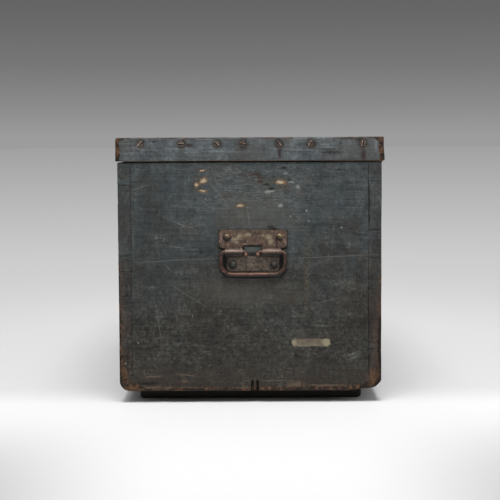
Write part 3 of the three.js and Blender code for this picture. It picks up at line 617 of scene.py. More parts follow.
def lid_piece(node, step, weather, kinds):
    """A rim or a board of the lid."""
    low, high = span(node)
    near = (0, 1.1, 2.4, 4.2, 6.4)
    rows = [lines(low[k], high[k], step[k], near) for k in range(3)]
    return add_block(node, grid(*rows), kinds, weather, "lid", "painted_pine")


rim_right = lid_piece("lid_rim_right", (6, 2, 2), weather_right_rim, [1, 0, 0, 0, 1, 0])
rim_left = lid_piece("lid_rim_left", (6, 5, 4), weather_lid, [0, 1, 0, 0, 1, 0])
rim_front = lid_piece("lid_rim_front", (8, 5, 4), weather_lid, [0, 0, 0, 1, 1, 0])
rim_back = lid_piece("lid_rim_back", (8, 5, 4), weather_lid, [0, 0, 1, 0, 1, 0])
rim_sides = [rim_front, rim_back]
boards = ("lid_front_board", "lid_back_board")
lid_boards = [lid_piece(board, (8, 7, 6), weather_lid, [0, 0, 0, 0, 1, 0]) for board in boards]
print("lid:", [len(piece.data.polygons) for piece in [rim_right, rim_left, *rim_sides, *lid_boards]])

# %% [markdown]
# ## Slotted screws
# A screw head is a disc whose rim turns under to the cone of the countersink, with one slot across
# it. As a block of cells it is a row across the slot, a row along it that shrinks with the circle,
# and a few layers down the cone. Leaving out the cells between two lines makes the slot, and the
# same block serves for every screw on the chest, turned and moved.

# %% Screws
head_radius, slot_half, highlight_width = 5.5 * mm, 1.05 * mm, 1.2 * mm


def screw_block(radius, seed):
    """A screw head that looks along +X with its face at 0, as points and faces. Across the slot the places
    are radius * sin(a), and along it they are +-radius * cos(a), so the outline is a circle."""
    angles = np.radians(np.linspace(-86, 86, 15))
    across = radius * np.sin(angles)
    across = np.sort(np.concatenate([across[np.abs(across) > slot_half * 1.3], [-slot_half, slot_half]]))
    along = np.linspace(-1, 1, 9)
    depth = np.array([-8, -3.2, -1.3, -0.35, 0]) * mm
    wide = np.array([0.46, 0.46, 0.9, 1, 0.93])
    out, sideways, lengthways = np.moveaxis(grid(depth, across, along), -1, 0)
    wide = wide[:, None, None]
    chord = np.sqrt(np.maximum(radius**2 - sideways**2, 0))
    crown = 0.2 * mm * (sideways / radius) ** 2
    points = np.stack([out - crown, sideways * wide, lengthways * chord * wide], axis=-1)
    points[..., 0] += 0.12 * mm * noise(points, 2.4, seed)
    solid = np.ones([n - 1 for n in out.shape], bool)
    middles = (across[1:] + across[:-1]) / 2
    solid[2:, np.abs(middles) < slot_half] = False
    points, faces = used_only(points, skin(solid)[0])
    out, sideways, _ = points[faces].mean(axis=1).T
    # The slot's faces take dirt and painted shade, and a strip of the head beside one side of the slot a
    # painted highlight.
    dirt_and_shade = (np.abs(sideways) < slot_half * 1.02) & (out < -0.3 * mm)
    highlight_strip = (sideways > slot_half) & (sideways < slot_half + highlight_width) & (out > -0.3 * mm)
    return points, faces, dirt_and_shade + 2 * highlight_strip


def turned(points, angle, axis):
    """Points turned about X, Y or Z through the origin."""
    return points @ np.array(Matrix.Rotation(angle, 3, axis)).T


def gather(parts):
    """Several sets of points, faces and what belongs to them, as one."""
    points, faces, *rest = zip(*parts)
    starts = np.cumsum([0] + [len(some) for some in points[:-1]])
    faces = [some + start for some, start in zip(faces, starts)]
    return [np.concatenate(column) for column in (points, faces, *rest)]


right_slots = [50, 0, -42, -14, -52, 62, 80]  # degrees that each slot is turned from level
right_sunk, sunk = 0.75 * mm, 0.35 * mm  # how far the heads lie in the right rim and in the others
slotted = []
for i, (node, place, turn) in enumerate(zip(right_screws, right_screw_places, right_slots)):
    points, faces, kinds = screw_block(head_radius, i)
    points = turned(points, math.radians(turn + 90), "X")
    points += np.array([lid_high[0] - right_sunk, place[1], place[2]])
    slotted.append(add_piece(f"slotted_{node}", points, faces, "lid", "worn_steel", [node], kinds))


def screw_row(name, places, facing, body, radius=head_radius, seed=0):
    """Several screws as one piece. facing turns +X to the way their heads look, as (angle, axis)."""
    parts = []
    for i, place in enumerate(places):
        points, faces, kinds = screw_block(radius, seed + i)
        spin = (seed * 37 + i * 61) % 180
        points = turned(turned(points, math.radians(spin), "X"), math.radians(facing[0]), facing[1])
        parts.append((points + np.array(place), faces, kinds))
    points, faces, kinds = gather(parts)
    return add_piece(name, points, faces, body, "worn_steel", kinds=kinds)


screw_z = lid_high[2] - rim_drop
left_shares = np.array([-0.41, -0.27, -0.13, 0.02, 0.15, 0.29, 0.42]) * 2
side_shares = np.array([-0.44, -0.33, -0.22, -0.11, 0.005, 0.12, 0.23, 0.335, 0.44]) * 2
left_places = [(lid_low[0] + sunk, lid_middle[1] + share * lid_half[1], screw_z) for share in left_shares]
front_places = [(share * lid_half[0], lid_low[1] + sunk, screw_z) for share in side_shares]
back_places = [(share * lid_half[0], lid_high[1] - sunk, screw_z) for share in side_shares]
screws = [
    screw_row("left_rim_screws", left_places, (180, "Z"), "lid", seed=20),
    screw_row("front_rim_screws", front_places, (-90, "Z"), "lid", seed=30),
    screw_row("back_rim_screws", back_places, (90, "Z"), "lid", seed=40),
]
print("screws:", sum(len(piece.data.polygons) for piece in screws) + 7 * len(faces))

# %% [markdown]
# ## The lifting handles
# Each plate was cut from one sheet of iron and pressed over the wire, so its profile is flat, goes up
# and round the wire and comes down flat again. A point on the plate is a place along that profile
# and a place across it. The cells of the window are left out. The whole plate then has one
# thickness, as sheet does, with its hollow barrels open at their ends.

# %% Handle plates
sheet = 1.1 * mm
plate_top, plate_foot = 37.5 * mm, 35.5 * mm
plate_half, notch_half, barrel_half, foot_half = 57.7 * mm, 50 * mm, 47 * mm, 45 * mm
plate_corner, foot_corner = 6 * mm, 12 * mm
plate_shoulder, plate_notch = 16 * mm, 7.2 * mm
window_left, window_right, window_top = -17.5 * mm, 15.9 * mm, 11.5 * mm
pivot_out, barrel_radius, fold = 5.2 * mm, 5 * mm, 1.2 * mm


def plate_profile():
    """Places (out, up) and outward normals along the pressed profile, from the foot to the top: flat, a
    hollow bend, a wall, a half circle over the wire, and the same again."""

    def straight(out, up, normal):
        places = np.stack(np.broadcast_arrays(out, up), axis=1)
        return places, np.tile(normal, (len(places), 1))

    def curved(middle, radius, first, last, count, facing):
        turn = np.radians(np.linspace(first, last, count))[1:]
        around = np.stack([np.cos(turn), np.sin(turn)], axis=1)
        return middle + radius * around, facing * around

    bend = sheet + fold, barrel_radius + fold
    low = curved((bend[0], -bend[1]), fold, 180, 90, 5, -1)
    parts = [
        straight(sheet, np.linspace(-plate_foot, -bend[1], 22), (1.0, 0.0)),
        low,
        straight(np.linspace(bend[0], pivot_out, 3)[1:], -barrel_radius, (0.0, -1.0)),
        curved((pivot_out, 0), barrel_radius, -90, 90, 15, 1),
        straight(bend[:1], barrel_radius, (0.0, 1.0)),
        [(part * (1, -1))[::-1][1:] for part in low],
        straight(sheet, plate_top - (plate_top - bend[1]) * np.linspace(1, 0, 26) ** 1.15, (1.0, 0.0)),
    ]
    return [np.concatenate(part) for part in zip(*parts)]


def plate_width(up):
    """Half the plate's width at each height: rounded upper corners, a curved draw-in to the notch, the
    barrels, and the narrower foot with its wide corners."""
    rise = np.clip(up - (plate_top - plate_corner), 0, plate_corner)
    upper = plate_half - plate_corner + np.sqrt(plate_corner**2 - rise**2)
    t = np.clip((plate_shoulder - up) / (plate_shoulder - plate_notch), 0, 1)
    upper -= (plate_half - notch_half) * (1 - np.sqrt(1 - t**2 * 0.999))
    drop = np.clip(-plate_foot + foot_corner - up, 0, foot_corner)
    lower = foot_half - foot_corner + np.sqrt(foot_corner**2 - drop**2)
    lower = np.where(up > -barrel_radius - fold / 2, barrel_half, lower)
    return np.where(up > plate_notch, upper, lower)


def on_end(points, end, pivot):
    """Places (out, across, up) about a handle's pivot as places on the chest, on the right end or, turned
    half round, on the left one."""
    out, across, up = np.moveaxis(points, -1, 0)
    face = end * case_half[0]
    return np.stack([face + end * out, pivot[1] + end * across, pivot[2] + up], axis=-1)


pivots = {joint["child"]: np.array(joint["pos_m"]) for joint in frame["joints"] if "bail" in joint["child"]}


def handle_plate(end, name):
    """The pressed plate of one handle."""
    profile, normals = plate_profile()
    width = plate_width(profile[:, 1])
    keys = np.stack([-width, np.full_like(width, window_left), np.full_like(width, window_right), width])
    rows = np.concatenate([np.arange(12) / 12, 1 + np.arange(8) / 8, 2 + np.arange(13) / 12])
    across = heights_at(keys[:, :, None], rows)[:, 0]
    layers = np.array([0.0, 1.0]) * sheet
    path = profile[:, None, None] - layers[None, :, None, None] * normals[:, None, None]
    points = np.stack(np.broadcast_arrays(path[..., 0], across[:, None], path[..., 1]), axis=-1)
    points[..., 0] += 0.3 * mm * (1 + noise(points, 14, 81)) * (points[..., 0] > sheet * 0.5)
    up = (profile[1:, 1] + profile[:-1, 1]) / 2
    in_window = (up > -barrel_radius - fold) & (up < window_top)
    solid = np.ones((len(profile) - 1, 1, len(rows) - 1), bool)
    middle = ((rows[1:] + rows[:-1]) / 2).astype(int) == 1
    solid[in_window[:, None, None] & middle[None, None]] = False
    pivot = pivots[f"{name}_bail"]
    points = on_end(points, end, pivot)

    # The barrels carry painted light: a highlight on their tops and painted shade underneath; the flat of
    # the plate gets one middle value.
    def rub(flat):
        raised = np.abs(flat[:, 0]) > case_half[0] + 2 * sheet
        return flat, np.where(raised, 0.5 * (flat[:, 2] - pivot[2]) / barrel_radius - 0.1, 0.1)

    node = f"{name}_handle_plate"
    return add_block(node, points, [0] * 6, rub, "case", "rusty_iron", solid, 0.25 * mm, "pressed")


plates = [handle_plate(1, "right"), handle_plate(-1, "left")]
print("plates:", [len(plate.data.polygons) for plate in plates])

# %% [markdown]
# The bail is one bent wire. Its two ends come through the barrels into the window and turn out and
# down there, which stops it from pulling out. The wire is a ring of points carried along its path:
# each ring's direction is the last one's, made square to the path again, so the tube doesn't twist.

# %% Bails
wire_radius = 3.55 * mm
bail_half, bail_drop = 53.8 * mm, 38.4 * mm
bail_shoulder, bail_bend = 6.6 * mm, 19 * mm
wire_ends = [-11.6 * mm, 7.6 * mm]
stop_bend, stop_length, stop_tilt = 4.2 * mm, 1.6 * mm, math.radians(38)


def arc(centre, start, finish, radius, count):
    """Points on a quarter circle from one unit direction to another."""
    turn = np.linspace(0, math.pi / 2, count)[:, None]
    return centre + radius * (np.cos(turn) * start + np.sin(turn) * finish)


def bail_side(side):
    """Half the wire's path, from its turned end to the middle of the grip, as (out, across, up)."""
    out = np.array([math.cos(stop_tilt), 0, -math.sin(stop_tilt)])
    away = np.array([0, side, 0.0])
    down = np.array([0, 0, -1.0])
    end = away * (-wire_ends[0] if side < 0 else wire_ends[1])
    stop = end + away * stop_bend + out * stop_bend
    length = stop_length * (1.35 if side < 0 else 1)
    shoulder = np.array([0, side * (bail_half - bail_shoulder), -bail_shoulder])
    grip = np.array([0, side * (bail_half - bail_bend), bail_bend - bail_drop])
    first = arc(stop, -away, -out, stop_bend, 7)
    second = arc(shoulder, -down, away, bail_shoulder, 9)
    third = arc(grip, away, down, bail_bend, 13)
    tip = (end + out * (stop_bend + length))[None]
    barrel = np.linspace(first[-1], second[0], 14)[1:-1]
    leg = np.linspace(second[-1], third[0], 8)[1:-1]
    bar = np.linspace(third[-1], third[-1] * np.array([1, 0, 1]), 12)[1:]
    return np.concatenate([tip, first, barrel, second, leg, third, bar])


def tube(path, radii, count):
    """Rings of points round a path. Each end is a ring that shrinks to nothing."""
    tangent = np.gradient(path, axis=0)
    tangent /= np.linalg.norm(tangent, axis=1, keepdims=True)
    spoke = np.array([0.0, 0.0, 1.0])
    spokes = []
    for direction in tangent:
        spoke = spoke - direction * (spoke @ direction)
        spoke /= np.linalg.norm(spoke)
        spokes.append(spoke)
    spokes = np.array(spokes)
    third = np.cross(tangent, spokes)
    turn = np.linspace(0, 2 * math.pi, count, endpoint=False)
    ring = np.cos(turn)[None, :, None] * spokes[:, None] + np.sin(turn)[None, :, None] * third[:, None]
    return path[:, None] + radii[:, None, None] * ring


def sheet_faces(rows, count):
    """Faces of rings joined one to the next, all the way round."""
    a = np.arange((rows - 1) * count).reshape(rows - 1, count)
    b = np.roll(a, -1, axis=1)
    return np.stack([a, b, b + count, a + count], axis=-1).reshape(-1, 4)


def capped(path, radius, rounding):
    """A path and its radii with a rounded tip added at each end."""
    turn = np.radians([0, 25, 50, 72, 90])
    tips = path[0] - path[1], path[-1] - path[-2]
    first, last = [tip / np.linalg.norm(tip) for tip in tips]
    start = path[0] + first * (rounding * np.sin(turn))[::-1, None]
    finish = path[-1] + last * (rounding * np.sin(turn))[:, None]
    shrink = radius - rounding + rounding * np.cos(turn)
    shrink[-1] = 0
    radii = np.concatenate([shrink[::-1], np.full(len(path) - 2, radius), shrink])
    return np.concatenate([start, path[1:-1], finish]), radii


def handle_bail(end, side):
    """The bent wire of one handle."""
    left, right = bail_side(-1), bail_side(1)
    path, radii = capped(np.concatenate([left, right[::-1][1:]]), wire_radius, wire_radius * 0.9)
    radii = radii * (1 + 0.035 * noise(path, 16, 91))
    points = tube(path, radii, 18)
    facing = (points - path[:, None]) / wire_radius
    inwards = -facing[..., 1] * np.sign(path[:, 1])[:, None]
    walked = np.concatenate([[0], np.cumsum(np.linalg.norm(np.diff(path, axis=0), axis=1))])
    from_tip = np.minimum(walked, walked[-1] - walked)
    tips = 0.6 * np.exp(-((from_tip / (2.6 * mm)) ** 2))
    tips -= 0.9 * np.exp(-(((from_tip - 8 * mm) / (3 * mm)) ** 2))
    # This number is mostly painted light: a highlight on the wire's top and front, painted shade underneath
    # and on its inner side, a painted highlight at each tip and painted shade just before it.
    wear = facing[..., 2] + 0.2 * facing[..., 0] - 0.5 * inwards + tips[:, None] - 0.1
    wear += 0.2 * noise(points, 9, 93)
    points += 0.1 * mm * noise(points, 4, 92)[..., None]
    faces = sheet_faces(len(path), 18)
    points[..., 0] += pivot_out
    body, node = f"{side}_bail", f"{side}_handle_bail"
    placed = on_end(points.reshape(-1, 3), end, pivots[body])
    return add_piece(f"bent_{body}", placed, faces, body, "rusty_iron", [node], wear=wear.ravel())


bails = [handle_bail(1, "right"), handle_bail(-1, "left")]
print("bails:", [len(bail.data.polygons) for bail in bails])

# %% [markdown]
# Four dome-headed studs hold each plate. They were hammered, so their domes have flats: the radius of
# the turned profile changes a little with the angle. One nail above the right plate was bent over.

# %% Studs and a bent nail
stud_radius, stud_height = 5.7 * mm, 3.4 * mm
stud_places = [(-45, 25.2), (45, 25.2), (-35, -21.6), (35, -21.6)]  # across and up from the pivot, in mm
stud_sides = 20


def dome(radius, height, seed):
    """A hammered dome that looks along +X, closed underneath, as points and faces. Its radius is the turned
    profile's times 1 + a * noise, and its height h * cos of the angle up the profile."""
    rise = np.radians([0, 14, 30, 46, 62, 76, 90])
    out = np.concatenate([height * np.cos(rise), [-0.6 * mm, -0.6 * mm]])
    wide = np.concatenate([radius * np.sin(rise), [radius * 0.96, 0]])
    turn = np.linspace(0, 2 * math.pi, stud_sides, endpoint=False)
    ring = np.stack([np.zeros_like(turn), np.cos(turn), np.sin(turn)], axis=-1)
    points = wide[:, None, None] * ring + out[:, None, None] * np.array([1.0, 0, 0])
    bumps = noise(points + seed * 7 * mm, 3.5, seed)
    points = points * (1 + 0.07 * bumps[..., None])
    return points.reshape(-1, 3), sheet_faces(len(out), stud_sides)


def studs_of(end, name):
    """The four studs of one handle."""
    made = []
    for i, (across, up) in enumerate(stud_places):
        points, faces = dome(stud_radius, stud_height, 100 + i)
        shift = np.array([sheet + 0.3 * mm, across * mm, up * mm])
        placed = on_end(points + shift, end, pivots[f"{name}_bail"])
        # The number is painted light: a highlight on the dome's upper side and painted shade on its lower
        # side.
        rise = (points[:, 2] + 0.5 * points[:, 1]) / stud_radius
        made.append((placed, faces, 1.05 * rise + 0.2 * points[:, 0] / stud_height - 0.1))
    return made


right_studs = []
for i, (points, faces, wear) in enumerate(studs_of(1, "right")):
    node = f"right_handle_stud_{i + 1}"
    right_studs.append(add_piece(f"domed_{node}", points, faces, "case", "rusty_iron", [node], wear=wear))
points, faces, wear = gather(studs_of(-1, "left"))
left_studs = add_piece("left_handle_studs", points, faces, "case", "rusty_iron", wear=wear)

nail_pixels = [(266.5, 227.4), (269.0, 226.0), (272.5, 226.6), (276.5, 228.6)]
nail_path = np.array([seen_at(px, py, case_high[0] + 0.8 * mm) for px, py in nail_pixels])
nail_path[0, 0] -= 5 * mm  # its first end is in the wood
nail_sides = 10
nail_steps = np.linspace(0, 3, 10)
nail_path = np.stack([np.interp(nail_steps, range(4), nail_path[:, k]) for k in range(3)], axis=-1)
nail_line, nail_radii = capped(nail_path, 1.3 * mm, 0.8 * mm)
nail_points = tube(nail_line, nail_radii, nail_sides).reshape(-1, 3)
nail = add_piece("bent_nail", nail_points, sheet_faces(len(nail_line), nail_sides), "case", "rusty_iron")
print("studs and nail:", 4 * len(right_studs[0].data.polygons), len(nail.data.polygons))

# %% [markdown]
# ## Hinges and lock
# The hinges, the lock, its bolt and link and the escutcheon are cut metal with plain shapes, and the
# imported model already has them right. They only need their loose triangles joined and their edges
# softened. Their screws are added, because a hinge leaf without screws would hold nothing.


# %% Hinges and lock
def soften(node, width):
    """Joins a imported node's triangles and takes the sharpness off its edges."""
    piece = frame["nodes"][node]
    weld = piece.modifiers.new("join", "WELD")
    weld.merge_threshold = 1e-5
    soft_edges(piece, width, 40)
    return piece


hinge_leaves = [soften(f"{side}_hinge_{part}_leaf", 0.2 * mm) for side in sides for part in ("case", "lid")]
hinge_pins = [soften(f"{side}_hinge_pin", 0.3 * mm) for side in sides]
lock_pieces = [soften(f"lock_{part}", 0.3 * mm) for part in ("case", "bolt", "link")]
escutcheon = soften("keyhole_escutcheon", 0.4 * mm)

small_radius = 4 * mm
leaf_inset = 11 * mm  # of a hinge's screws from the edges of its leaf
hinge_screws = []
for side in sides:
    low, high = span(f"{side}_hinge_case_leaf")
    xs = np.linspace(low[0] + leaf_inset, high[0] - leaf_inset, 3)
    leaves = (("case", wall_high[2] + 0.05 * mm, -90, 50), ("lid", lid_low[2] - 0.05 * mm, 90, 60))
    for body, z, way, seed in leaves:
        places = [(x, low[1] + leaf_inset + 3 * mm * (i % 2), z) for i, x in enumerate(xs)]
        name = f"{side}_hinge_{body}_screws"
        hinge_screws.append(screw_row(name, places, (way, "Y"), body, small_radius, seed))

low, high = span("lock_case")
lock_xs, lock_zs = (low[0] + 8 * mm, high[0] - 8 * mm), (low[2] + 9 * mm, high[2] - 9 * mm)
lock_places = [(x, high[1] - 0.1 * mm, z) for x in lock_xs for z in lock_zs]
lock_screws = screw_row("lock_screws", lock_places, (90, "Z"), "case", small_radius, 70)
shield_low, shield_high = span("keyhole_escutcheon")
shield_x = (shield_low[0] + shield_high[0]) / 2
pin_radius, pin_height, pin_inset = 1.6 * mm, 0.5 * mm, 3.4 * mm
pin_parts = []
for i, z in enumerate((shield_low[2] + pin_inset, shield_high[2] - pin_inset)):
    points, faces = dome(pin_radius, pin_height, 120 + i)
    place = np.array([shield_x, shield_low[1] + pin_height, z])
    pin_parts.append((turned(points, math.radians(-90), "Z") + place, faces))
shield_pins = add_piece("escutcheon_pins", *gather(pin_parts), "case", "old_brass")
print("hinges and lock:", len(hinge_leaves) + len(hinge_pins) + len(lock_pieces) + 1, "packed pieces")

# %% [markdown]
# ## Tills and runners
# Inside, two tills slide forwards on stepped runners. They are thin bare pine, nailed up, with edges
# worn by hands. A runner is a block of cells with the cells above its lower step left out.


# %% Tills and runners
till_edge = 1.1 * mm
runner_out, runner_foot = 12 * mm, 30 * mm  # how far out the upper step stands, and the lower step's height


def plain_board(node, body, steps, seed):
    """A bare board with soft edges."""
    low, high = span(node)
    near = (0, 0.9, 2)
    points = grid(*[lines(low[k], high[k], steps[k], near) for k in range(3)])
    middle, half = (low + high) / 2, (high - low) / 2

    def weather(points):
        a, b, c = (half - np.abs(points - middle)).T
        radius = till_edge * (1 + 0.5 * noise(points, 14, seed))
        new_a, new_b = round_edge(a, b, radius)
        new_a, new_c = round_edge(new_a, c, radius)
        new_b, new_c = round_edge(new_b, new_c, radius)
        moved = middle + np.sign(points - middle) * (half - np.stack([new_a, new_b, new_c], axis=-1))
        edge = np.sort(np.stack([a, b, c]), axis=0)[1]
        return settle(moved, middle, half, (0.25, 30, seed)), 2 - edge / mm

    return add_block(node, points, [0] * 6, weather, body, "bare_pine", bevel=0)


tills = []
for i, level in enumerate(levels):
    for k, part in enumerate(("floor", "front", "back", "left_end", "right_end")):
        steps = (9, 6, 6) if k < 3 else (4, 9, 6)
        tills.append(plain_board(f"{level}_till_{part}", f"{level}_till", steps, 130 + 5 * i + k))


def runner(end, name):
    """The stepped runner on one end wall."""
    node = f"{name}_till_runner"
    low, high = span(node)
    wall = high[0] if end > 0 else low[0]
    reach = np.array([0, 1.2, 5, 10.5, (runner_out - joint_gap) / mm, 14, 20, 22.5, 23.7]) * mm
    x = wall - end * reach
    y = lines(low[1], high[1], 12, (0, 1.2, 3))
    foot = lines(0, runner_foot, 6, (0, 1.2))
    up = np.concatenate([foot, lines(runner_foot, high[2] - low[2], 9, (0, 1.2))[1:]])
    outer = reach[1:] > runner_out
    above = up[1:] > runner_foot + 1e-6
    keep = ~(outer[:, None] & above[None])
    solid = np.repeat(keep[:, None], len(y) - 1, axis=1)

    def unworn(points):
        return points, np.zeros(len(points))

    return add_block(node, grid(x, y, low[2] + up), [0] * 6, unworn, "case", "bare_pine", solid)


runners = [runner(1, "right"), runner(-1, "left")]
print("tills and runners:", len(tills), len(runners))

# %% [markdown]
# ## Making materials out of nodes
# A finish is a colour, a roughness and a fine relief, and on an old chest each of them changes from
# place to place. An effect that several finishes share, such as the paint itself or the bared wood,
# is a node group, built once. Patterns read the Object coordinates, in metres, so their sizes can be
# given as real ones. What a node gives is wrapped as a Value, so that a pattern can be written as a
# formula, in which every sum and product adds a maths node.


# %% Helpers for nodes
def srgb(red, green, blue):
    """A colour as it looks on screen, from 0 to 255, as the linear numbers that a shader takes."""
    c = np.array([red, green, blue]) / 255
    return (*np.where(c <= 0.04045, c / 12.92, ((c + 0.055) / 1.055) ** 2.4), 1)


class Value:
    """A number, a vector or a colour that a node gives."""

    def __init__(self, socket):
        self.socket = socket

    def __add__(self, other):
        return maths("ADD", self, other)

    def __sub__(self, other):
        return maths("SUBTRACT", self, other)

    def __mul__(self, other):
        return maths("MULTIPLY", self, other)

    def __truediv__(self, other):
        return maths("DIVIDE", self, other)

    def __abs__(self):
        return maths("ABSOLUTE", self)


class Sockets:
    """A node's inputs or outputs by name or number. One is read as a Value, and written by giving it a
    Value, which links it, or a plain number or vector. A colour is given as it looks on screen."""

    def __init__(self, sockets):
        self.sockets = sockets

    def __getitem__(self, key):
        return Value(self.sockets[key])

    def __setitem__(self, key, value):
        socket = self.sockets[key]
        if isinstance(value, Value):
            socket.id_data.links.new(value.socket, socket)
        else:
            socket.default_value = srgb(*value) if socket.type == "RGBA" else value


def node(kind, inputs, tree=None, **settings):
    """Adds a node and gives its outputs. Without a tree, it goes where the values of its inputs are."""
    tree = tree or next(value.socket.id_data for value in inputs.values() if isinstance(value, Value))
    made = tree.nodes.new("ShaderNode" + kind)
    for key, value in settings.items():
        setattr(made, key, value)
    for key, value in inputs.items():
        Sockets(made.inputs)[key] = value
    return Sockets(made.outputs)


def maths(operation, *values):
    """Adds a maths node, for vectors if the first value is a vector or a colour."""
    is_number = not isinstance(values[0], Value) or values[0].socket.type == "VALUE"
    return node("Math" if is_number else "VectorMath", dict(enumerate(values)), operation=operation)[0]


def cloud(place, scale, detail=2, rough=0.5):
    """Noise from 0 to 1 with the given number of patches a metre."""
    return node("TexNoise", {"Vector": place, "Scale": scale, "Detail": detail, "Roughness": rough})[0]


def warped(place, scale, amount):
    """Places moved a little by noise, so that a straight mark wanders."""
    drift = node("TexNoise", {"Vector": place, "Scale": scale, "Detail": 2})[1]
    return place + (drift - (0.5, 0.5, 0.5)) * (amount, amount, amount)


def between(value, low, high, first=0, last=1):
    """first below low, last above high, and a smooth step between."""
    values = {0: value, 1: low, 2: high, 3: first, 4: last}
    return node("MapRange", values, interpolation_type="SMOOTHSTEP")[0]


def mixed(factor, a, b, blend="MIX"):
    """Two colours mixed."""
    return node("Mix", {0: factor, 6: a, 7: b}, data_type="RGBA", blend_type=blend)[2]


def shaded(colour, tone):
    """A colour times a number."""
    return mixed(1, colour, node("CombineColor", {0: tone, 1: tone, 2: tone})[0], "MULTIPLY")


def length(vector):
    """A vector's length."""
    return node("VectorMath", {0: vector}, operation="LENGTH")["Value"]


def parts_of(vector):
    """A vector's parts along X, Y and Z."""
    return node("SeparateXYZ", {0: vector})


def group(name, inputs, outputs, vectors=("Vector", "Grain")):
    """A new node group and its ends. An input given as three numbers is a vector if its name is in
    vectors, and otherwise a colour. The only output that is a colour is called Color."""
    tree = bpy.data.node_groups.new(name, "ShaderNodeTree")
    for label, value in inputs.items():
        kind = "Float" if np.size(value) == 1 else "Vector" if label in vectors else "Color"
        socket = tree.interface.new_socket(label, in_out="INPUT", socket_type="NodeSocket" + kind)
        socket.default_value = srgb(*value) if kind == "Color" else value
    for label in outputs:
        kind = "NodeSocketColor" if label == "Color" else "NodeSocketFloat"
        tree.interface.new_socket(label, in_out="OUTPUT", socket_type=kind)
    given = Sockets(tree.nodes.new("NodeGroupInput").outputs)
    return tree, given, Sockets(tree.nodes.new("NodeGroupOutput").inputs)


def material(name):
    """A new material, its shader's inputs and its Object coordinates."""
    made = bpy.data.materials.new(name)
    made.use_nodes = True
    shader = Sockets(made.node_tree.nodes["Principled BSDF"].inputs)
    return made, shader, node("TexCoord", {}, made.node_tree)["Object"]


def surface(shader, colour, roughness, height, relief, strength=0.8, specular=0.5):
    """Joins the patterns of a finish to its shader. relief is how high the height's bumps stand."""
    shader["Base Color"] = colour
    shader["Roughness"] = roughness
    shader["Specular IOR Level"] = specular
    shader["Normal"] = node("Bump", {"Height": height, "Distance": relief, "Strength": strength})[0]


origin, plain_paint = (0, 0, 0), (64, 69, 70)
print("on screen 128 is", round(srgb(128, 128, 128)[0], 3), "to a shader")

# %% [markdown]
# ## Old paint
# The paint is a thin blue-grey oil paint, brushed along the grain. It has gone browner and greyer
# towards the ground, and it is also painted darker there, a painted shade for light that falls from above.
# Long noise gives brush and grain, short upright noise the scrubbing across it, and broad clouds the
# patches that have faded. The same numbers raise a very fine relief.

# %% The paint group
inputs = {"Vector": origin, "Grain": (330, 16, 330), "Upper": (88, 98, 102), "Lower": (72, 70, 64)}
old_paint, given, result = group("old_paint", inputs, ["Color", "Roughness", "Height"])
place = given["Vector"]
wander = warped(place, 30, 0.003)
streak = cloud(wander * given["Grain"], 1, 3, 0.6)
scrub = cloud(wander * (240, 240, 34), 1, 3, 0.6)
patch = cloud(place, 9, 4, 0.6)
mottle = cloud(place, 48, 5, 0.7)
knocks = cloud(place, 170, 3, 0.7)
speck = cloud(place, 430, 3, 0.7)
up = parts_of(place)[2]
# Lower is browner than Upper, which is dirt, and darker, which is painted shade for light from above.
rise = patch * 1.2 + (between(up, 0.05, 0.42) - 0.6)
base = mixed(between(rise, 0, 1), given["Lower"], given["Upper"])
tone = (streak * 1.6 + 0.25) * (scrub * 0.55 + 0.73) * (mottle * 2)
roughly = between(up, 0.08, 0.32, 3.4, 1.3)  # the paint is knocked about more near the ground
tone = tone * ((knocks - 0.5) * roughly + 1) * (patch + 0.5) * (speck * 1.4 + 0.3)
toned = shaded(base, tone)
brown = between(cloud(place, 14, 6, 0.75), 0.48, 0.7, 0, 0.45)
foot = between(up, 0.04, 0.09, 0.75, 0) * between(streak, 0.35, 0.6)
toned = mixed(maths("MAXIMUM", brown, foot), toned, (56, 48, 40))
bluer = between(cloud(wander + (3, 5, 7), 11, 5, 0.7), 0.5, 0.68, 0, 0.5)
toned = mixed(bluer * between(up, 0.1, 0.3), toned, (60, 71, 76))
hair = abs(cloud(wander * (80, 80, 20), 1, 2, 0.5) - 0.5)
dash = abs(cloud((wander + (1, 2, 3)) * (30, 30, 140), 1, 2, 0.5) - 0.5)
drawn = maths("MAXIMUM", between(hair, 0, 0.014, 1, 0), between(dash, 0, 0.03, 1, 0))
rubbed = between(cloud(wander, 28, 4, 0.7), 0.48, 0.64, 0, 0.6)
toned = mixed(drawn * rubbed, toned, (98, 96, 90))
grit = between(speck, 0.62, 0.72, 0, 0.5) * between(mottle, 0.4, 0.6)
result["Color"] = mixed(grit, toned, (116, 114, 104))
result["Roughness"] = mottle * 0.35 + 0.36
result["Height"] = mottle * 0.5 + (speck * 0.4 + streak * 0.7)
print("old_paint:", len(old_paint.nodes), "nodes")

# %% [markdown]
# ## Chips and scratches all over
# Away from the photographed end no single mark is known, but a chest that was pushed about has chips and
# long fine scratches everywhere. A scratch is where stretched noise passes through its middle value,
# which gives a long thin line, and slower noise lets only a few of these lines through.

# %% The group of scattered marks
inputs = {"Vector": origin, "Color": plain_paint, "Scratches": 0.4}
scattered_marks, given, result = group("scattered_marks", inputs, ["Color", "Chips"])
place = given["Vector"]
spots = cloud(warped(place, 60, 0.006), 85, 4, 0.72)
rare = cloud(place, 7, 2, 0.5)
chipped = between(rare * 0.26 + spots, 0.84, 0.89)
scratch = 0
for slant, stretch in ((0.5, (7, 7, 55)), (-0.9, (9, 9, 70)), (0.1, (60, 60, 9))):
    values = {"Vector": place, "Rotation": (slant, slant, 0), "Scale": stretch}
    from_middle = abs(cloud(node("Mapping", values)[0], 1, 1, 0.4) - 0.5)
    scratch = maths("MAXIMUM", scratch, between(from_middle, 0.002, 0.007, 1, 0))
few = between(cloud(place, 13, 3, 0.6), 0.54, 0.62)
colour = mixed(scratch * few * given["Scratches"], given["Color"], (126, 126, 118))
result["Color"] = mixed(chipped * 0.5, colour, (120, 112, 96))
result["Chips"] = chipped
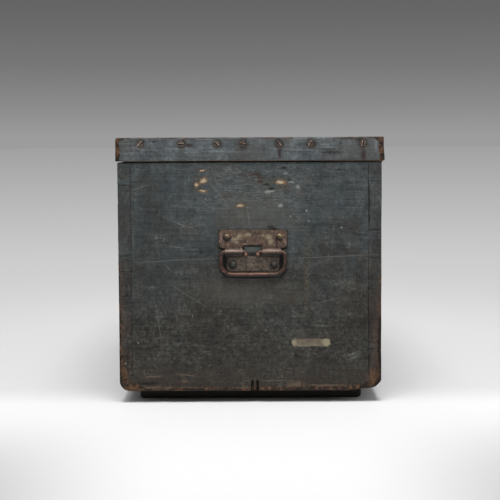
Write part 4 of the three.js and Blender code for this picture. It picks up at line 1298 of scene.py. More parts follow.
print("scattered_marks:", len(scattered_marks.nodes), "nodes")

# %% [markdown]
# ## Bared wood
# Along the edges the paint is gone and the wood is orange-brown, dark where grease and dirt have gone
# in. Each board carries its wear as a number for every point, in millimetres, so the group only has
# to add noise to it and look where it passes zero. It takes the finish as it is so far and gives it
# back with the wood showing through, rougher and a little lower there.

# %% The wear group
inputs = {"Vector": origin, "Wear": 0, "Spread": 9, "Color": plain_paint}
inputs |= {"Chips": 0, "Roughness": 0.5, "Height": 0}
bared_wood, given, result = group("bared_wood", inputs, ["Color", "Roughness", "Height"])
place = given["Vector"]
ragged = cloud(place, 55, 3, 0.6) * 2 - 1.08
fine = cloud(place, 330, 2, 0.6) * 5 - 2.6
reach = ragged * given["Spread"] + given["Wear"] + fine
gone = between(reach, -1, 1.2)
tint = between(cloud(place, 80, 4, 0.72), 0.42, 0.64)
wood = mixed(tint, (36, 27, 22), (118, 86, 62))
dirt = between(cloud(place, 330, 3, 0.65), 0.4, 0.6, 0.75, 0)
dirt = maths("MAXIMUM", dirt, between(reach, 7, 18, 0, 0.85))
result["Color"] = mixed(gone, given["Color"], mixed(dirt, wood, (32, 26, 22)))
result["Roughness"] = gone * 0.15 + given["Roughness"]
result["Height"] = maths("MAXIMUM", gone, given["Chips"]) * -0.8 + given["Height"]
print("bared_wood:", len(bared_wood.nodes), "nodes")

# %% [markdown]
# ## Marks of use
# The photographed end has marks that make it this chest and no other: chips to the pale undercoat,
# scratches, a bare smear of old cream paint, rust below the screws. Each mark is an ellipse or a bar
# whose middle, half sizes and slant were read off the photograph in pixels. The least distance over
# all the marks of one kind, in units of each one's own size, is what the noise then frays.


# %% Tables of marks, in pixels
# Spots: middle across, middle down, half width.
# Strokes: middle, half width, half height and, if there is one, the slant in degrees.
cream_chips = [
    (201.8, 170.7, 2.6, 0.9, 2), (203.5, 180.6, 4.2, 2.9, 10), (196.2, 184.8, 2.5, 2.3, 40),
    (202.7, 190.8, 4.8, 1.4, 2), (240.2, 205.7, 4.4, 1.8, 4), (280.6, 182, 5.6, 2.5),
]
grey_chips = [
    (269.5, 191.4, 5.2, 1.3, 5), (286, 173.2, 2, 0.8), (290.4, 182.4, 2.8, 0.7),
    (298, 186.6, 1.5, 1.6), (280.2, 205.6, 2.4, 1.8, 10),
]
polished_places = [(256, 216, 36, 28), (242, 292, 52, 13)]
greasy_places = [(152, 238, 28, 56), (376, 278, 7, 50)]
rubbed_round = [
    (201.4, 170.4, 7.6, 1.9), (200.6, 184.6, 7, 7.6), (240.4, 205, 6.6, 3.2),
    (279, 184, 11, 7), (306.8, 271, 2.6, 34),
]
combed_middle, combed_reach = (256, 186), (52, 24)
pale_scuffs = [
    (263, 184, 5.6), (161, 237.4, 8), (157.4, 245, 4.6), (182.8, 272.6, 7.2), (152.6, 287.6, 4.4),
    (268.6, 297, 4.4), (344.6, 283, 8.6), (333.6, 283.4, 6), (350.6, 245.2, 5.2), (236.8, 352.4, 4.4),
    (349.2, 314.6, 3), (341.6, 227.6, 2.4), (307.4, 309.6, 5), (297, 314, 6.6), (239.2, 215.6, 3),
    (183, 224.6, 9), (352.8, 355.4, 6), (228, 172, 9),
]
scratches = [
    (172, 260.6, 38.5, 0.6, 2.6), (336, 256.4, 46, 0.6, 2.4), (140.6, 187.4, 8.8, 0.5, 18),
    (219, 194, 14, 0.5, -51), (181, 224.6, 9.6, 0.6, -20), (168, 267.6, 5.2, 0.6, -42),
    (188, 295.6, 19, 0.45, -33), (158.4, 322, 22, 0.4, -81), (274, 380.6, 16, 0.5),
    (319.6, 325.6, 8.6, 0.6, -2), (353.2, 353.6, 3.8, 0.7, 24), (354.4, 357.8, 3, 0.7, 20),
    (133.3, 238.4, 0.4, 13), (248, 214, 0.5, 12, 8), (206, 204, 10, 0.4, -36),
    (176, 247, 7.4, 0.5, -8), (330, 300, 11, 0.4, 14),
]
dark_seams = [
    (375.6, 181, 6.6), (375.6, 229.4, 6.6), (375.6, 319, 6.6), (375.6, 348.6, 6.6), (123.6, 185.4, 6.6),
    (123.6, 256.2, 6.6), (275.4, 229.3, 4.4),
]
dark_slits = [
    (369.2, 191, 1), (369.2, 205, 1.1), (369.2, 220, 1), (369.3, 360, 0.8), (252.4, 386, 0.9),
    (257.6, 386.4, 0.9), (302, 386.4, 0.6), (348.4, 386, 0.6), (209.2, 386, 0.5),
]
dark_spots = [
    (283.6, 167.9, 3.2), (289.4, 179.6, 2), (266.8, 184.6, 3.4), (271, 188.6, 3.4), (216.7, 260.2, 1.7),
    (339.5, 169.4, 1.7), (344.6, 169.8, 1.1),
]
brown_smears = [
    (225, 195.6, 6), (187.6, 225.8, 2.6), (183.8, 380, 3.4), (228, 278.4, 2.2), (271.4, 279.4, 1.7),
    (254.6, 386.8, 2.4), (301, 383, 3.8), (292, 300, 4.2), (352, 250, 4.6),
]
smear_middle, smear_half = (311.2, 342.5), (19.4, 3.7)
plate_middle, plate_reach = (252.7, 250.4), (35, 21.4)
# Painted shadows of the bail on the wall: under its grip, inside its legs and by its bends.
bail_shadows = [
    (253, 277.2, 28, 1.7), (225, 264, 1.6, 12), (281.6, 264, 1.6, 12), (223, 273.6, 6, 1, -48),
    (283.4, 273.6, 6, 1, 48), (222, 248.2, 2.6, 1), (282.6, 248.4, 2.6, 1.2),
]
# Painted shade round the inside of the plate's window and between the wire's ends.
window_shade = [
    (252.2, 254.2, 5, 2.4), (243.3, 249.8, 1.2, 4.8), (262.2, 249.8, 1.2, 4.8),
    (252.6, 246.3, 9.6, 0.9),
]
board_lines = [
    (130.3, 197.4, 0.45, 33), (368.5, 197, 0.55, 35), (368.3, 320, 0.45, 44),
    (149, 383.6, 9.6, 1.7),
]
blue_patches = [(205.2, 186.6, 3.4, 1.7), (274.4, 186, 3.4, 1.7)]
foot_rubs = [
    (186, 388, 26, 0.7), (151.6, 388.2, 8, 1.5), (296, 384.6, 8, 2.8), (328, 385.4, 20, 1.1),
    (238, 388.2, 16, 0.7), (153.6, 376.7, 6.8, 0.6), (186.2, 375, 9, 0.6, -8),
    (184.9, 381.3, 2.4, 1.3),
]
pale_dots = [
    (341.4, 227.8, 0.9), (306.6, 210.6, 1.1), (205.6, 199.4, 0.6), (308.4, 221.2, 0.8), (193, 316, 0.7),
    (125.7, 363.8, 0.9), (138, 343, 0.7), (290, 216, 0.8), (266, 330, 0.6),
]
corner_rubs = [(373.4, 377.2, 5.4, 7.2), (124.2, 374, 3, 8.6, 12), (130.6, 389, 7.6, 2.2, -6)]
strip_rubs = [(122.1, 304, 2.2, 38), (376.6, 342, 4.4, 26), (378, 300, 2.4, 20)]
corner_edges = [
    (381, 350, 3, 42), (379.8, 382.4, 4.2, 10, -30), (370.4, 388.6, 8, 1.7, 6),
    (118.8, 338, 1.6, 44), (121, 386.6, 2.6, 7, 30),
]
smear_ends = [(294.4, 343.2, 2.6), (327, 342.4, 3.8)]
# The outline box under the upper plate is partly rust stain and partly painted contact shade at its edge.
outline_middle, outline_half = (253, 239.6), (34.7, 9.6)
# The window box is where the wall is painted lighter, a painted light where the plate shades it.
window_middle, window_half = (252.6, 250), (9.9, 4.6)
brown_gouge = [(251.4, 174.2, 6.4, 1.2, -12), (257.6, 175.6, 6, 2.6, -24), (260.6, 181, 4, 2.8, -50)]
print("marks:", sum(map(len, (cream_chips, pale_scuffs, scratches, dark_seams, dark_slits, brown_smears))))

# %% [markdown]
# A slanted mark is found with a Mapping node, which brings its ellipse to a circle of radius one. Marks
# that lie level need only a distance in a stretched place, and bars and boxes a few sums. A shader holds
# a limited number of vectors, so long rows of Mapping nodes are made to wait for each other.

# %% Distances to marks
end_face = case_high[0]


def least_of(values):
    """The least of several numbers."""
    least = values[0]
    for value in values[1:]:
        least = maths("MINIMUM", least, value)
    return least


def pixel_at(px, py, x):
    """The size of a pixel of the photograph on the upright plane at x."""
    return seen_at(px + 1, py, x)[1] - seen_at(px, py, x)[1]


def later(place, value):
    """The same places, moved by a billionth of a value. A shader can hold only some sixty vectors at a
    time, and whatever reads these places has to wait until the value before them is done with."""
    return node("VectorMath", {0: value, 1: (1e-9, 1e-9, 1e-9), 2: place}, operation="MULTIPLY_ADD")[0]


def measured(place, middle, half, slant=0):
    """Places counted from a mark's middle, in its own half sizes."""
    values = {"Vector": place, "Location": tuple(middle), "Scale": half}
    values["Rotation"] = (math.radians(slant), 0, 0)
    return node("Mapping", values, vector_type="TEXTURE")[0]


def nearest_stroke(place, strokes, x=end_face):
    """The least distance to an ellipse that can have a slant, where 1 is its border."""
    distances = []
    for i, (px, py, half_width, half_height, *slant) in enumerate(strokes):
        if i % 8 == 7:
            distances = [least_of(distances)]
            place = later(place, distances[0])
        pixel = pixel_at(px, py, x)
        half = (1, half_width * pixel, half_height * pixel)
        distances.append(length(measured(place, seen_at(px, py, x), half, *slant)))
    return least_of(distances)


def nearest_spot(place, spots, aspect, x=end_face):
    """The least distance to an ellipse that is aspect times as wide as it is high, where 1 is its border.
    The place is stretched upwards by the aspect, so each ellipse is a circle there."""
    stretched = place * (0, 1, aspect)
    distances = []
    for px, py, half_width in spots:
        _, y, z = seen_at(px, py, x)
        values = {0: stretched, 1: (0, y, z * aspect)}
        away = node("VectorMath", values, operation="DISTANCE")["Value"]
        distances.append(away / (half_width * pixel_at(px, py, x)))
    return least_of(distances)


def from_box(place, middle, half):
    """The distance from the middle of an upright box in pixels, where 1 is on its border: the greater of
    the distances across and up, each in half sizes."""
    pixel = pixel_at(*middle, end_face)
    unit = measured(place, seen_at(*middle, end_face), (1, half[0] * pixel, half[1] * pixel))
    _, across, up = parts_of(abs(unit))
    return maths("MAXIMUM", across, up)


def from_bar(place, middle, half):
    """The distance from the middle line of a bar with round ends, in pixels, where 1 is its border: the
    length of what is left of a place once its part along the line is taken off."""
    pixel = pixel_at(*middle, end_face)
    _, across, up = parts_of(place - tuple(seen_at(*middle, end_face)))
    beyond = maths("MAXIMUM", abs(across) - (half[0] - half[1]) * pixel, 0)
    return maths("SQRT", beyond * beyond + up * up) / (half[1] * pixel)


def frayed(place, distance, amount, scale, soft):
    """A mask of marks whose borders noise has frayed."""
    torn = cloud(place, scale, 3, 0.65) * amount - amount / 2
    return between(distance + torn, 1 - soft, 1 + soft, 1, 0)


def strokes_on(place, strokes, *fray, x=end_face):
    """A mask of slanted marks."""
    return frayed(place, nearest_stroke(place, strokes, x), *fray)


def spots_on(place, spots, aspect, *fray, x=end_face):
    """A mask of level marks."""
    return frayed(place, nearest_spot(place, spots, aspect, x), *fray)


print("a pixel of the end is", round(pixel_at(250, 250, end_face) / mm, 3), "mm")

# %% [markdown]
# Each kind of mark becomes a node group that takes a colour and gives it back with the marks on it, as
# several finishes need the same ones. The first is what knocks and rubs left: brown smears, pale scuffs,
# scratches, the paint combed off the hard grain near the top, and a brown gouge in it.


# %% Rubs and scratches of the end
def marks_group(fill):
    """Turns a function that lays marks over a colour into a node group with the function's name."""
    tree, given, result = group(fill.__name__, {"Vector": origin, "Color": plain_paint}, ["Color"])
    result["Color"] = fill(given["Vector"], given["Color"])
    print(f"{fill.__name__}:", len(tree.nodes), "nodes")
    return tree


def over(mask, strength, colour, mark):
    """A mark's colour laid over a colour."""
    return mixed(maths("MULTIPLY", mask, strength), colour, mark)


@marks_group
def end_rubs(place, colour):
    """Polished and greasy places, smears, scuffs, scratches, combed grain and the gouge."""
    colour = over(strokes_on(place, polished_places, 1.2, 24, 0.6), 0.3, colour, (98, 93, 83))
    greasy = strokes_on(place, greasy_places, 1.2, 24, 0.6)
    colour = over(greasy, 0.28, colour, (36, 37, 35))
    place = later(place, greasy)
    drawn = warped(place, 150, 0.006)
    fine = warped(place, 45, 0.0022)
    smear = spots_on(drawn, brown_smears, 1.2, 1.6, 200, 0.6)
    drawn = later(drawn, smear)
    colour = over(smear, 0.5, colour, (66, 54, 46))
    strokes = cloud(drawn * (0, 150, 420), 1, 3, 0.7)
    scuff = spots_on(drawn, pale_scuffs, 1.9, 1.4, 300, 0.7)
    colour = over(scuff, between(strokes, 0.5, 0.62, 0.05, 0.55), colour, (116, 119, 112))
    fine = later(fine, scuff)
    line = strokes_on(fine, scratches, 1.7, 220, 0.7)
    drawn = later(drawn, line)
    colour = over(line, 0.36, colour, (120, 122, 115))
    rubbed = strokes_on(drawn, rubbed_round, 1.5, 160, 0.7)
    blotch = between(cloud(place, 330, 3, 0.7), 0.42, 0.58)
    drawn = later(drawn, rubbed)
    combed = frayed(drawn, from_box(drawn, combed_middle, combed_reach), 1, 30, 0.5)
    combing = between(cloud(drawn * (0, 60, 520), 1, 4, 0.7), 0.5, 0.62, 0, 0.7)
    colour = over(combed, combing, colour, (106, 112, 112))
    drawn = later(drawn, combed)
    gouge = strokes_on(drawn, brown_gouge, 1, 240, 0.4)
    worn_brown = mixed(between(combing, 0.1, 0.4), (58, 48, 43), (88, 78, 70))
    colour = over(gouge, 0.85, colour, worn_brown)
    return over(rubbed, 0.55, colour, mixed(blotch, (44, 40, 38), (96, 88, 74)))

# %% [markdown]
# Where something hard hit the end, the paint came off down to a cream undercoat. Such a chip is cream in
# the middle and has a brown rim, because the wood shows where the undercoat went too. The smear low on
# the right is a bare remnant of old cream paint, thin in its middle and thick at its ends.


# %% Chips and old paint of the end
@marks_group
def end_chips(place, colour):
    """Blue patches, cream and grey chips, brown rubs at the foot, and the smear."""
    drawn = warped(place, 150, 0.006)
    fine = warped(place, 45, 0.0022)
    blotch = cloud(place, 330, 3, 0.7)
    blue = strokes_on(drawn, blue_patches, 1, 260, 0.7)
    colour = over(blue, 0.6, colour, (48, 72, 84))
    drawn = later(drawn, blue)
    inside = nearest_stroke(drawn, cream_chips)
    drawn = later(drawn, inside)
    chip = frayed(drawn, inside, 0.9, 420, 0.4)
    rim = between(blotch * 0.9 + inside, 0.75, 1.35)
    colour = mixed(chip, colour, mixed(rim, (180, 166, 144), (126, 96, 68)))
    chip = strokes_on(drawn, grey_chips, 1.7, 420, 0.4)
    colour = over(chip, 0.85, colour, (140, 142, 138))
    fine = later(fine, chip)
    rub = strokes_on(fine, foot_rubs, 1.6, 200, 0.8)
    fine = later(fine, rub)
    colour = over(rub, 0.6, colour, (112, 94, 78))
    smeared = frayed(fine, from_bar(fine, smear_middle, smear_half), 1, 300, 0.25)
    streaks = cloud(fine * (0, 30, 700), 1, 2, 0.5)
    browned = between(cloud(fine, 50, 2, 0.5), 0.4, 0.6)
    cream = mixed(browned, (146, 140, 114), (122, 108, 94))
    colour = over(smeared, between(streaks, 0.35, 0.65, 0.5, 0.75), colour, cream)
    thick = spots_on(fine, smear_ends, 0.9, 1.2, 300, 0.6)
    return over(thick * smeared, 0.45, colour, (172, 164, 132))

# %% [markdown]
# Dirt and grease gathered round the handle's plate, and its outline is partly that stain and partly painted
# contact shade. Behind the bail the wall has painted shadows and round the plate's window painted shade,
# and the joints of the boards, the lost splinters and the nail holes are dark. The wall inside the plate's
# window is painted lighter, a painted light where the plate shades it.


# %% Dirt, painted shadows and joints of the end
@marks_group
def end_dirt(place, colour):
    """The handle's stain and its outline of stain and painted shade, the painted light in its window, the
    bail's painted shadows, and everything dark.
    """
    drawn = warped(place, 150, 0.006)
    fine = warped(place, 45, 0.0022)
    stained = frayed(drawn, from_box(drawn, plate_middle, plate_reach), 0.3, 90, 0.12)
    outside = between(from_box(place, window_middle, window_half), 0.97, 1.03)
    colour = over(stained * outside, 0.35, colour, (40, 35, 31))
    # Partly rust stain and partly painted contact shade along the upper plate's edge.
    outline = frayed(fine, from_box(fine, outline_middle, outline_half), 0.03, 160, 0.03)
    colour = over(outline * outside, 0.75, colour, (24, 20, 17))
    # Inside the window the wall is painted lighter, a painted light where the plate shades it.
    colour = mixed(outside * -0.5 + 0.5, colour, (104, 108, 106))
    fine = later(fine, outline)
    seams = nearest_spot(fine, dark_seams, 12)
    slits = nearest_spot(fine, dark_slits, 0.14)
    spots = nearest_spot(fine, dark_spots, 2.6)
    # Painted shade round the plate's window, with the dark lines of the board joints.
    window_shade_and_lines = nearest_stroke(fine, [*window_shade, *board_lines])
    fine = later(fine, window_shade_and_lines)
    # The bail's painted shadows, near black.
    colour = over(strokes_on(fine, bail_shadows, 0.4, 200, 0.25), 0.9, colour, (17, 12, 10))
    # Dark joints, slits and spots, and the painted shade round the window.
    dark = frayed(fine, least_of([seams, slits, spots, window_shade_and_lines]), 1, 300, 0.45)
    return over(dark, 0.8, colour, (16, 14, 13))

# %% [markdown]
# Some marks lie over the bared wood: brown rubs at the lower corners with near-black strips beside them
# along the outer edges, and a few pale dots. On the front and the back the long joint between the two
# boards is dark, and the keyhole is painted near-black, a painted shade for its hole.


# %% Marks over the bared wood
@marks_group
def end_corners(place, colour):
    """Brown rubs at the lower corners of the end, the black edges beside them, and the pale dots."""
    fine = warped(place, 90, 0.004)
    blotch = between(cloud(place, 260, 4, 0.72), 0.38, 0.62)
    rub = strokes_on(fine, corner_rubs, 1.5, 110, 0.6)
    colour = over(rub, 0.62, colour, mixed(blotch, (50, 36, 27), (128, 92, 62)))
    fine = later(fine, rub)
    strip = strokes_on(fine, strip_rubs, 1.6, 60, 0.8)
    colour = over(strip, 0.5, colour, mixed(blotch, (50, 39, 34), (92, 74, 65)))
    fine = later(fine, strip)
    colour = over(spots_on(fine, pale_dots, 1, 0.6, 500, 0.4), 0.7, colour, (150, 150, 142))
    return over(strokes_on(fine, corner_edges, 0.9, 160, 0.5), 0.92, colour, (18, 12, 9))


keyhole_half = (4 * mm, 30 * mm, 9 * mm)


@marks_group
def side_joints(place, colour):
    """Dirt in the long joint of the front's two boards and of the back's, and the keyhole painted
    near-black, a painted shade for its hole.
    """
    _, across, up = parts_of(warped(place, 40, 0.0012))
    for name, side in (("front", "LESS_THAN"), ("back", "GREATER_THAN")):
        from_joint = abs(up - span(f"{name}_upper_board")[0][2])
        line = between(from_joint, 0.3 * mm, 1.3 * mm, 0.8, 0)
        colour = over(line, maths(side, across, 0), colour, (20, 18, 17))
    # The keyhole's hole isn't cut: a near-black patch on the board is the painted shade inside it.
    low, high = span("keyhole_escutcheon")
    from_hole = length(measured(place, (low + high) / 2, keyhole_half))
    return mixed(between(from_hole, 0.9, 1.1, 1, 0), colour, (10, 9, 8))

# %% [markdown]
# ## The painted finishes
# All the painted boards share one recipe, with the grain turned and the colours a little different on
# each side: paint, scattered marks, the side's own marks, bared wood, and the marks over the wood. The
# end grain of the tails takes paint more darkly than the faces of the boards do.

# %% Painted pine
along_y = (330, 16, 330)
along_x = (16, 330, 330)
end_grain = (560, 480, 110)


def add_marks(place, colour, kinds):
    """Lays groups of marks over a colour, one after the other."""
    for marks in kinds:
        values = {"Vector": later(place, colour), "Color": colour}
        colour = node("Group", values, node_tree=marks)["Color"]
    return colour


def wear_on(made):
    """The number that the points of a piece carry: a board's wear, or on the handles' ironwork mostly a
    painted highlight and shade.
    """
    return node("Attribute", {}, made.node_tree, attribute_name="wear")["Fac"]


def painted(name, grain, upper, lower, marks=(), late_marks=(), scratches=0.4, spread=9):
    """A painted finish, with groups of marks below and above the bared wood."""
    made, shader, place = material(name)
    values = {"Vector": place, "Grain": grain, "Upper": upper, "Lower": lower}
    paint = node("Group", values, node_tree=old_paint)
    values = {"Vector": place, "Color": paint["Color"], "Scratches": scratches}
    scattered = node("Group", values, node_tree=scattered_marks)
    values = {"Vector": place, "Wear": wear_on(made), "Spread": spread}
    values["Color"] = add_marks(place, scattered["Color"], marks)
    values |= {"Chips": scattered["Chips"], "Roughness": paint["Roughness"], "Height": paint["Height"]}
    worn = node("Group", values, node_tree=bared_wood)
    colour = add_marks(place, worn["Color"], late_marks)
    surface(shader, colour, worn["Roughness"], worn["Height"], 0.35 * mm, 0.9, 0.25)


board_colours = plain_paint, (51, 50, 46)
grain_colours = (60, 62, 61), (50, 45, 40)
of_the_end = [end_rubs, end_chips, end_dirt], [end_corners], 0.12
painted("paint_right_end", along_y, *board_colours, *of_the_end)
painted("paint_left_end", along_y, *board_colours)
painted("paint_right_grain", end_grain, *grain_colours, *of_the_end)
painted("paint_left_grain", end_grain, *grain_colours)
painted("paint_front", along_x, *board_colours, (), [side_joints])
print("painted finishes of the case:", len(bpy.data.materials))

# %% [markdown]
# The lid's rim has kept more of its blue and is paler than the case, partly rubbed paler by sleeves and
# hands and partly painted light, as the light from above falls most on the lid. Its marks are rings and
# runs of rust from the screws, a scuff, an old nail hole and a painted highlight down the right rim's
# rounded corner.

# %% Painted rim
screw_columns = (141, 181.4, 217.2, 243.1, 279, 311, 363.2)
rim_rings = [(px, 144.4, 4.5) for px in screw_columns]
rim_handled = [(366, 148, 22), (346, 153, 12), (124, 147, 9), (252, 158, 14)]
rim_runs = [
    (188.6, 145.4, 4.4, 1.6), (279.4, 152.6, 2, 5.4), (363.6, 154.6, 2.6, 6.4),
    (361, 139.8, 5.2, 1.6), (350, 138.4, 16, 1), (190, 138, 40, 0.9),
]
rim_dark = [
    (331, 152.4, 9.4, 1.8), (340.6, 143.2, 1.4, 1.4), (153.6, 141.6, 1.6, 1, 20),
    (328, 149.4, 7, 0.6), (116.6, 154, 1.4, 1.6),
]
# Pale rubs and scratches; the one at 376.2 is a painted highlight down the rim's rounded right corner.
rim_pale = [
    (328, 147, 8.4, 0.5), (326, 144.4, 6.4, 0.45, 2), (376.2, 145.4, 1.5, 6.4),
    (171, 148.6, 10, 0.45), (300, 150, 12, 0.45, -1), (235, 152, 12, 0.4, 1), (205, 139.6, 9, 0.5),
]


@marks_group
def right_rim_marks(place, colour):
    """Rust from the screws, scuffs and pale rubs on the right rim, with a painted highlight on its corner.
    """
    x = lid_high[0]
    drawn = warped(place, 110, 0.003)
    colour = over(spots_on(drawn, rim_handled, 1, 1.2, 60, 0.6, x=x), 0.5, colour, (76, 72, 69))
    rusty = least_of([nearest_spot(drawn, rim_rings, 1, x), nearest_stroke(drawn, rim_runs, x)])
    colour = over(frayed(drawn, rusty, 1.1, 300, 0.55), 0.8, colour, (48, 34, 28))
    colour = over(strokes_on(drawn, rim_pale, 1.1, 300, 0.5, x=x), 0.5, colour, (124, 132, 136))
    return over(strokes_on(drawn, rim_dark, 1.2, 380, 0.5, x=x), 0.75, colour, (34, 31, 29))


# This paler blue is partly the lid's better-kept paint and partly painted light, as the light from above
# falls most on the lid.
rim_blue = (86, 91, 93)
painted("paint_right_rim", along_y, rim_blue, rim_blue, [right_rim_marks], (), 0.12, 6)
painted("paint_left_rim", along_y, rim_blue, rim_blue, spread=6)
painted("paint_lid", along_x, rim_blue, rim_blue, spread=7)

# %% [markdown]
# ## Bare wood
# Inside, the pine was never painted. Its grain is stretched noise, bent by slower noise, with darker
# late wood lines. Hands and tools have darkened it. The underside has the same grain under dirt.

# %% The grain group and bare pine
inputs = {"Vector": origin, "Grain": (4, 60, 60), "Pale": (176, 140, 98), "Dark": (116, 80, 50)}
pine_grain, given, result = group("pine_grain", {**inputs, "Dirt": 0.1}, ["Color", "Height"])
place = given["Vector"]
wide = cloud(warped(place, 8, 0.03) * given["Grain"], 1, 3, 0.5)
rings = abs(maths("SINE", wide * 26))
fibre = cloud(place * given["Grain"], 9, 3, 0.7)
stain = cloud(place, 11, 5, 0.65)
colour = mixed(rings * 0.55 + fibre * 0.5, given["Dark"], given["Pale"])
colour = mixed(between(stain, 0.5, 0.72, 0, 0.6), colour, (62, 50, 40))
clean = maths("SUBTRACT", 0.5, given["Dirt"])
grey = between(cloud(place, 16, 5, 0.7), clean, clean + 0.4) * (given["Dirt"] * 2)
result["Color"] = mixed(grey, colour, (38, 35, 31))
result["Height"] = rings * 0.4 + fibre


def bare(name, grain, pale, dark, dirt):
    """A bare wood finish with a share of dirt over it."""
    made, shader, place = material(name)
    values = {"Vector": place, "Grain": grain, "Pale": pale, "Dark": dark, "Dirt": dirt}
    wood = node("Group", values, node_tree=pine_grain)
    height = wood["Height"]
    surface(shader, wood["Color"], height * 0.2 + 0.55, height, 0.3 * mm, 0.8, 0.3)


grain_x, grain_y = (3, 55, 55), (55, 3, 55)
inner_colours = (150, 118, 84), (98, 70, 46), 0.18
till_colours = (172, 136, 96), (116, 82, 52), 0.1
bare("pine_inside", grain_x, *inner_colours)
bare("pine_inside_ends", grain_y, *inner_colours)
bare("pine_under", grain_x, (84, 74, 62), (50, 43, 36), 0.4)
bare("pine_skid", grain_y, (58, 52, 45), (34, 30, 26), 0.45)
bare("pine_till", grain_x, *till_colours)
bare("pine_till_ends", grain_y, *till_colours)
print("pine_grain:", len(pine_grain.nodes), "nodes")

# %% [markdown]
# ## Rusted iron
# The handles have an even brown rust, rubbed smooth where hands hold them. Their upper faces are a paler
# pink and their lower faces near black, a painted highlight and painted shade; only at the tips of the
# bail's wire is the pale partly rubbing by hands. The plate has yellow-grey remains of paint on the flat
# of the plate. Rust is a rough mineral, so most of the surface isn't metallic, and only the rubbed parts
# shine.

# %% The iron group
inputs = {"Vector": origin, "Wear": 0, "Rust": (104, 82, 72), "Dark": (52, 42, 38)}
inputs["Bright"] = (150, 118, 98)
rusted_iron, given, result = group("rusted_iron", inputs, ["Color", "Roughness", "Metallic", "Height"])
place = given["Vector"]
coarse = cloud(place, 130, 4, 0.65)
grit = cloud(place, 700, 3, 0.7)
spots = between(cloud(place, 260, 3, 0.6), 0.56, 0.7)
base = mixed(between(coarse, 0.3, 0.66), given["Dark"], given["Rust"])
base = shaded(mixed(spots * 0.6, base, given["Bright"]), grit * 0.9 + 0.55)
# On the handles the number that the points carry is mostly painted light: high, it brings in the bright
# colour as a painted highlight, and low, the near-black as painted shade. Where the points carry no number
# only the noise is left, and the near-black is darker rust.
ragged = coarse * 0.5 + (given["Wear"] - 0.25)
base = mixed(between(ragged, 0.35, 1.05, 0, 0.7), base, given["Bright"])
result["Color"] = mixed(between(ragged, -0.5, 0.1, 0.94, 0), base, (17, 12, 10))
result["Roughness"] = grit * 0.35 + 0.36
result["Metallic"] = between(coarse, 0.45, 0.7, 0.1, 0.5)
result["Height"] = coarse * 0.8 + grit
print("rusted_iron:", len(rusted_iron.nodes), "nodes")

# %% [markdown]
# Each kind of ironwork is this rust in its own colours, and the photographed plate has marks besides.
# They are tables of ellipses like those of the end: remains of paint, painted highlights on the plate's
# edges, the barrels' tops and a stud, and painted shadows under the barrels and the bail's grip, round the
# studs, inside the bail's legs and in the window.


# %% Ironwork
def iron(name, rust, dark, bright, relief, marks):
    """A rusty finish, with groups of marks over it."""
    made, shader, place = material(name)
    values = {"Vector": place, "Wear": wear_on(made), "Rust": rust, "Dark": dark, "Bright": bright}
    rusty = node("Group", values, node_tree=rusted_iron)
    shader["Metallic"] = rusty["Metallic"]
    colour = add_marks(place, rusty["Color"], marks)
    surface(shader, colour, rusty["Roughness"], rusty["Height"], relief * mm)


plate_paint = [
    (235.6, 239.2, 4.4, 1.7, 12), (239, 236.2, 3.6, 1.9, 30), (236, 242.4, 2.4, 0.9, -10),
    (247.4, 234.8, 3.6, 1.3, 8), (268.8, 237.2, 2.8, 2.6, -40), (270.6, 241.6, 2.2, 2.6, -20),
    (262.4, 235.6, 3, 0.7),
]
# Painted highlights on the plate's edges, the barrels' tops, the window's upper corner and a stud.
plate_highlights = [
    (221.3, 238, 0.8, 5.4), (285.2, 241.6, 0.8, 3.6, 20), (244.6, 244, 2, 0.8),
    (272, 250, 7, 0.8), (233, 250.4, 8, 0.7), (281, 236.4, 0.8, 0.8),
]
plate_low = [(252.6, 264.6, 30, 10)]
# Painted shadows under the barrels and the bail's grip, round the studs, inside the bail's legs and in the
# window.
plate_shadows = [
    (233.4, 256.6, 10.6, 1.4), (272.2, 256.2, 10.2, 1.4), (226.8, 238.2, 4.3, 4.1),
    (278.6, 237.8, 4.3, 4.1), (232.4, 265.4, 4.6, 4.5), (274, 265.4, 4.6, 4.5),
    (252.6, 271.4, 24, 0.8), (227.4, 262, 1.3, 8), (279.8, 262, 1.3, 8),
    (252.6, 245.2, 9.4, 0.6), (252.2, 255, 3.8, 1.5), (233.4, 253.6, 10, 0.9),
    (272.2, 253.4, 10, 0.9),
]


@marks_group
def plate_marks(place, colour):
    """Cream remains of paint on the upper plate, a duller foot, painted highlights and painted shadows."""
    drawn = warped(place, 160, 0.004)
    dull = strokes_on(drawn, plate_low, 0.3, 120, 0.3)
    grain = between(cloud(place, 230, 4, 0.62), 0.34, 0.66)
    colour = over(dull, 0.75, colour, mixed(grain, (50, 43, 37), (118, 108, 94)))
    patchy = between(cloud(place, 520, 4, 0.7), 0.3, 0.62, 0.2, 0.8)
    colour = over(strokes_on(drawn, plate_paint, 1.6, 200, 0.9), patchy, colour, (166, 156, 128))
    colour = over(strokes_on(drawn, plate_highlights, 1, 260, 0.7), 0.6, colour, (150, 126, 118))
    return over(strokes_on(drawn, plate_shadows, 0.9, 260, 0.5), 0.85, colour, (24, 17, 13))


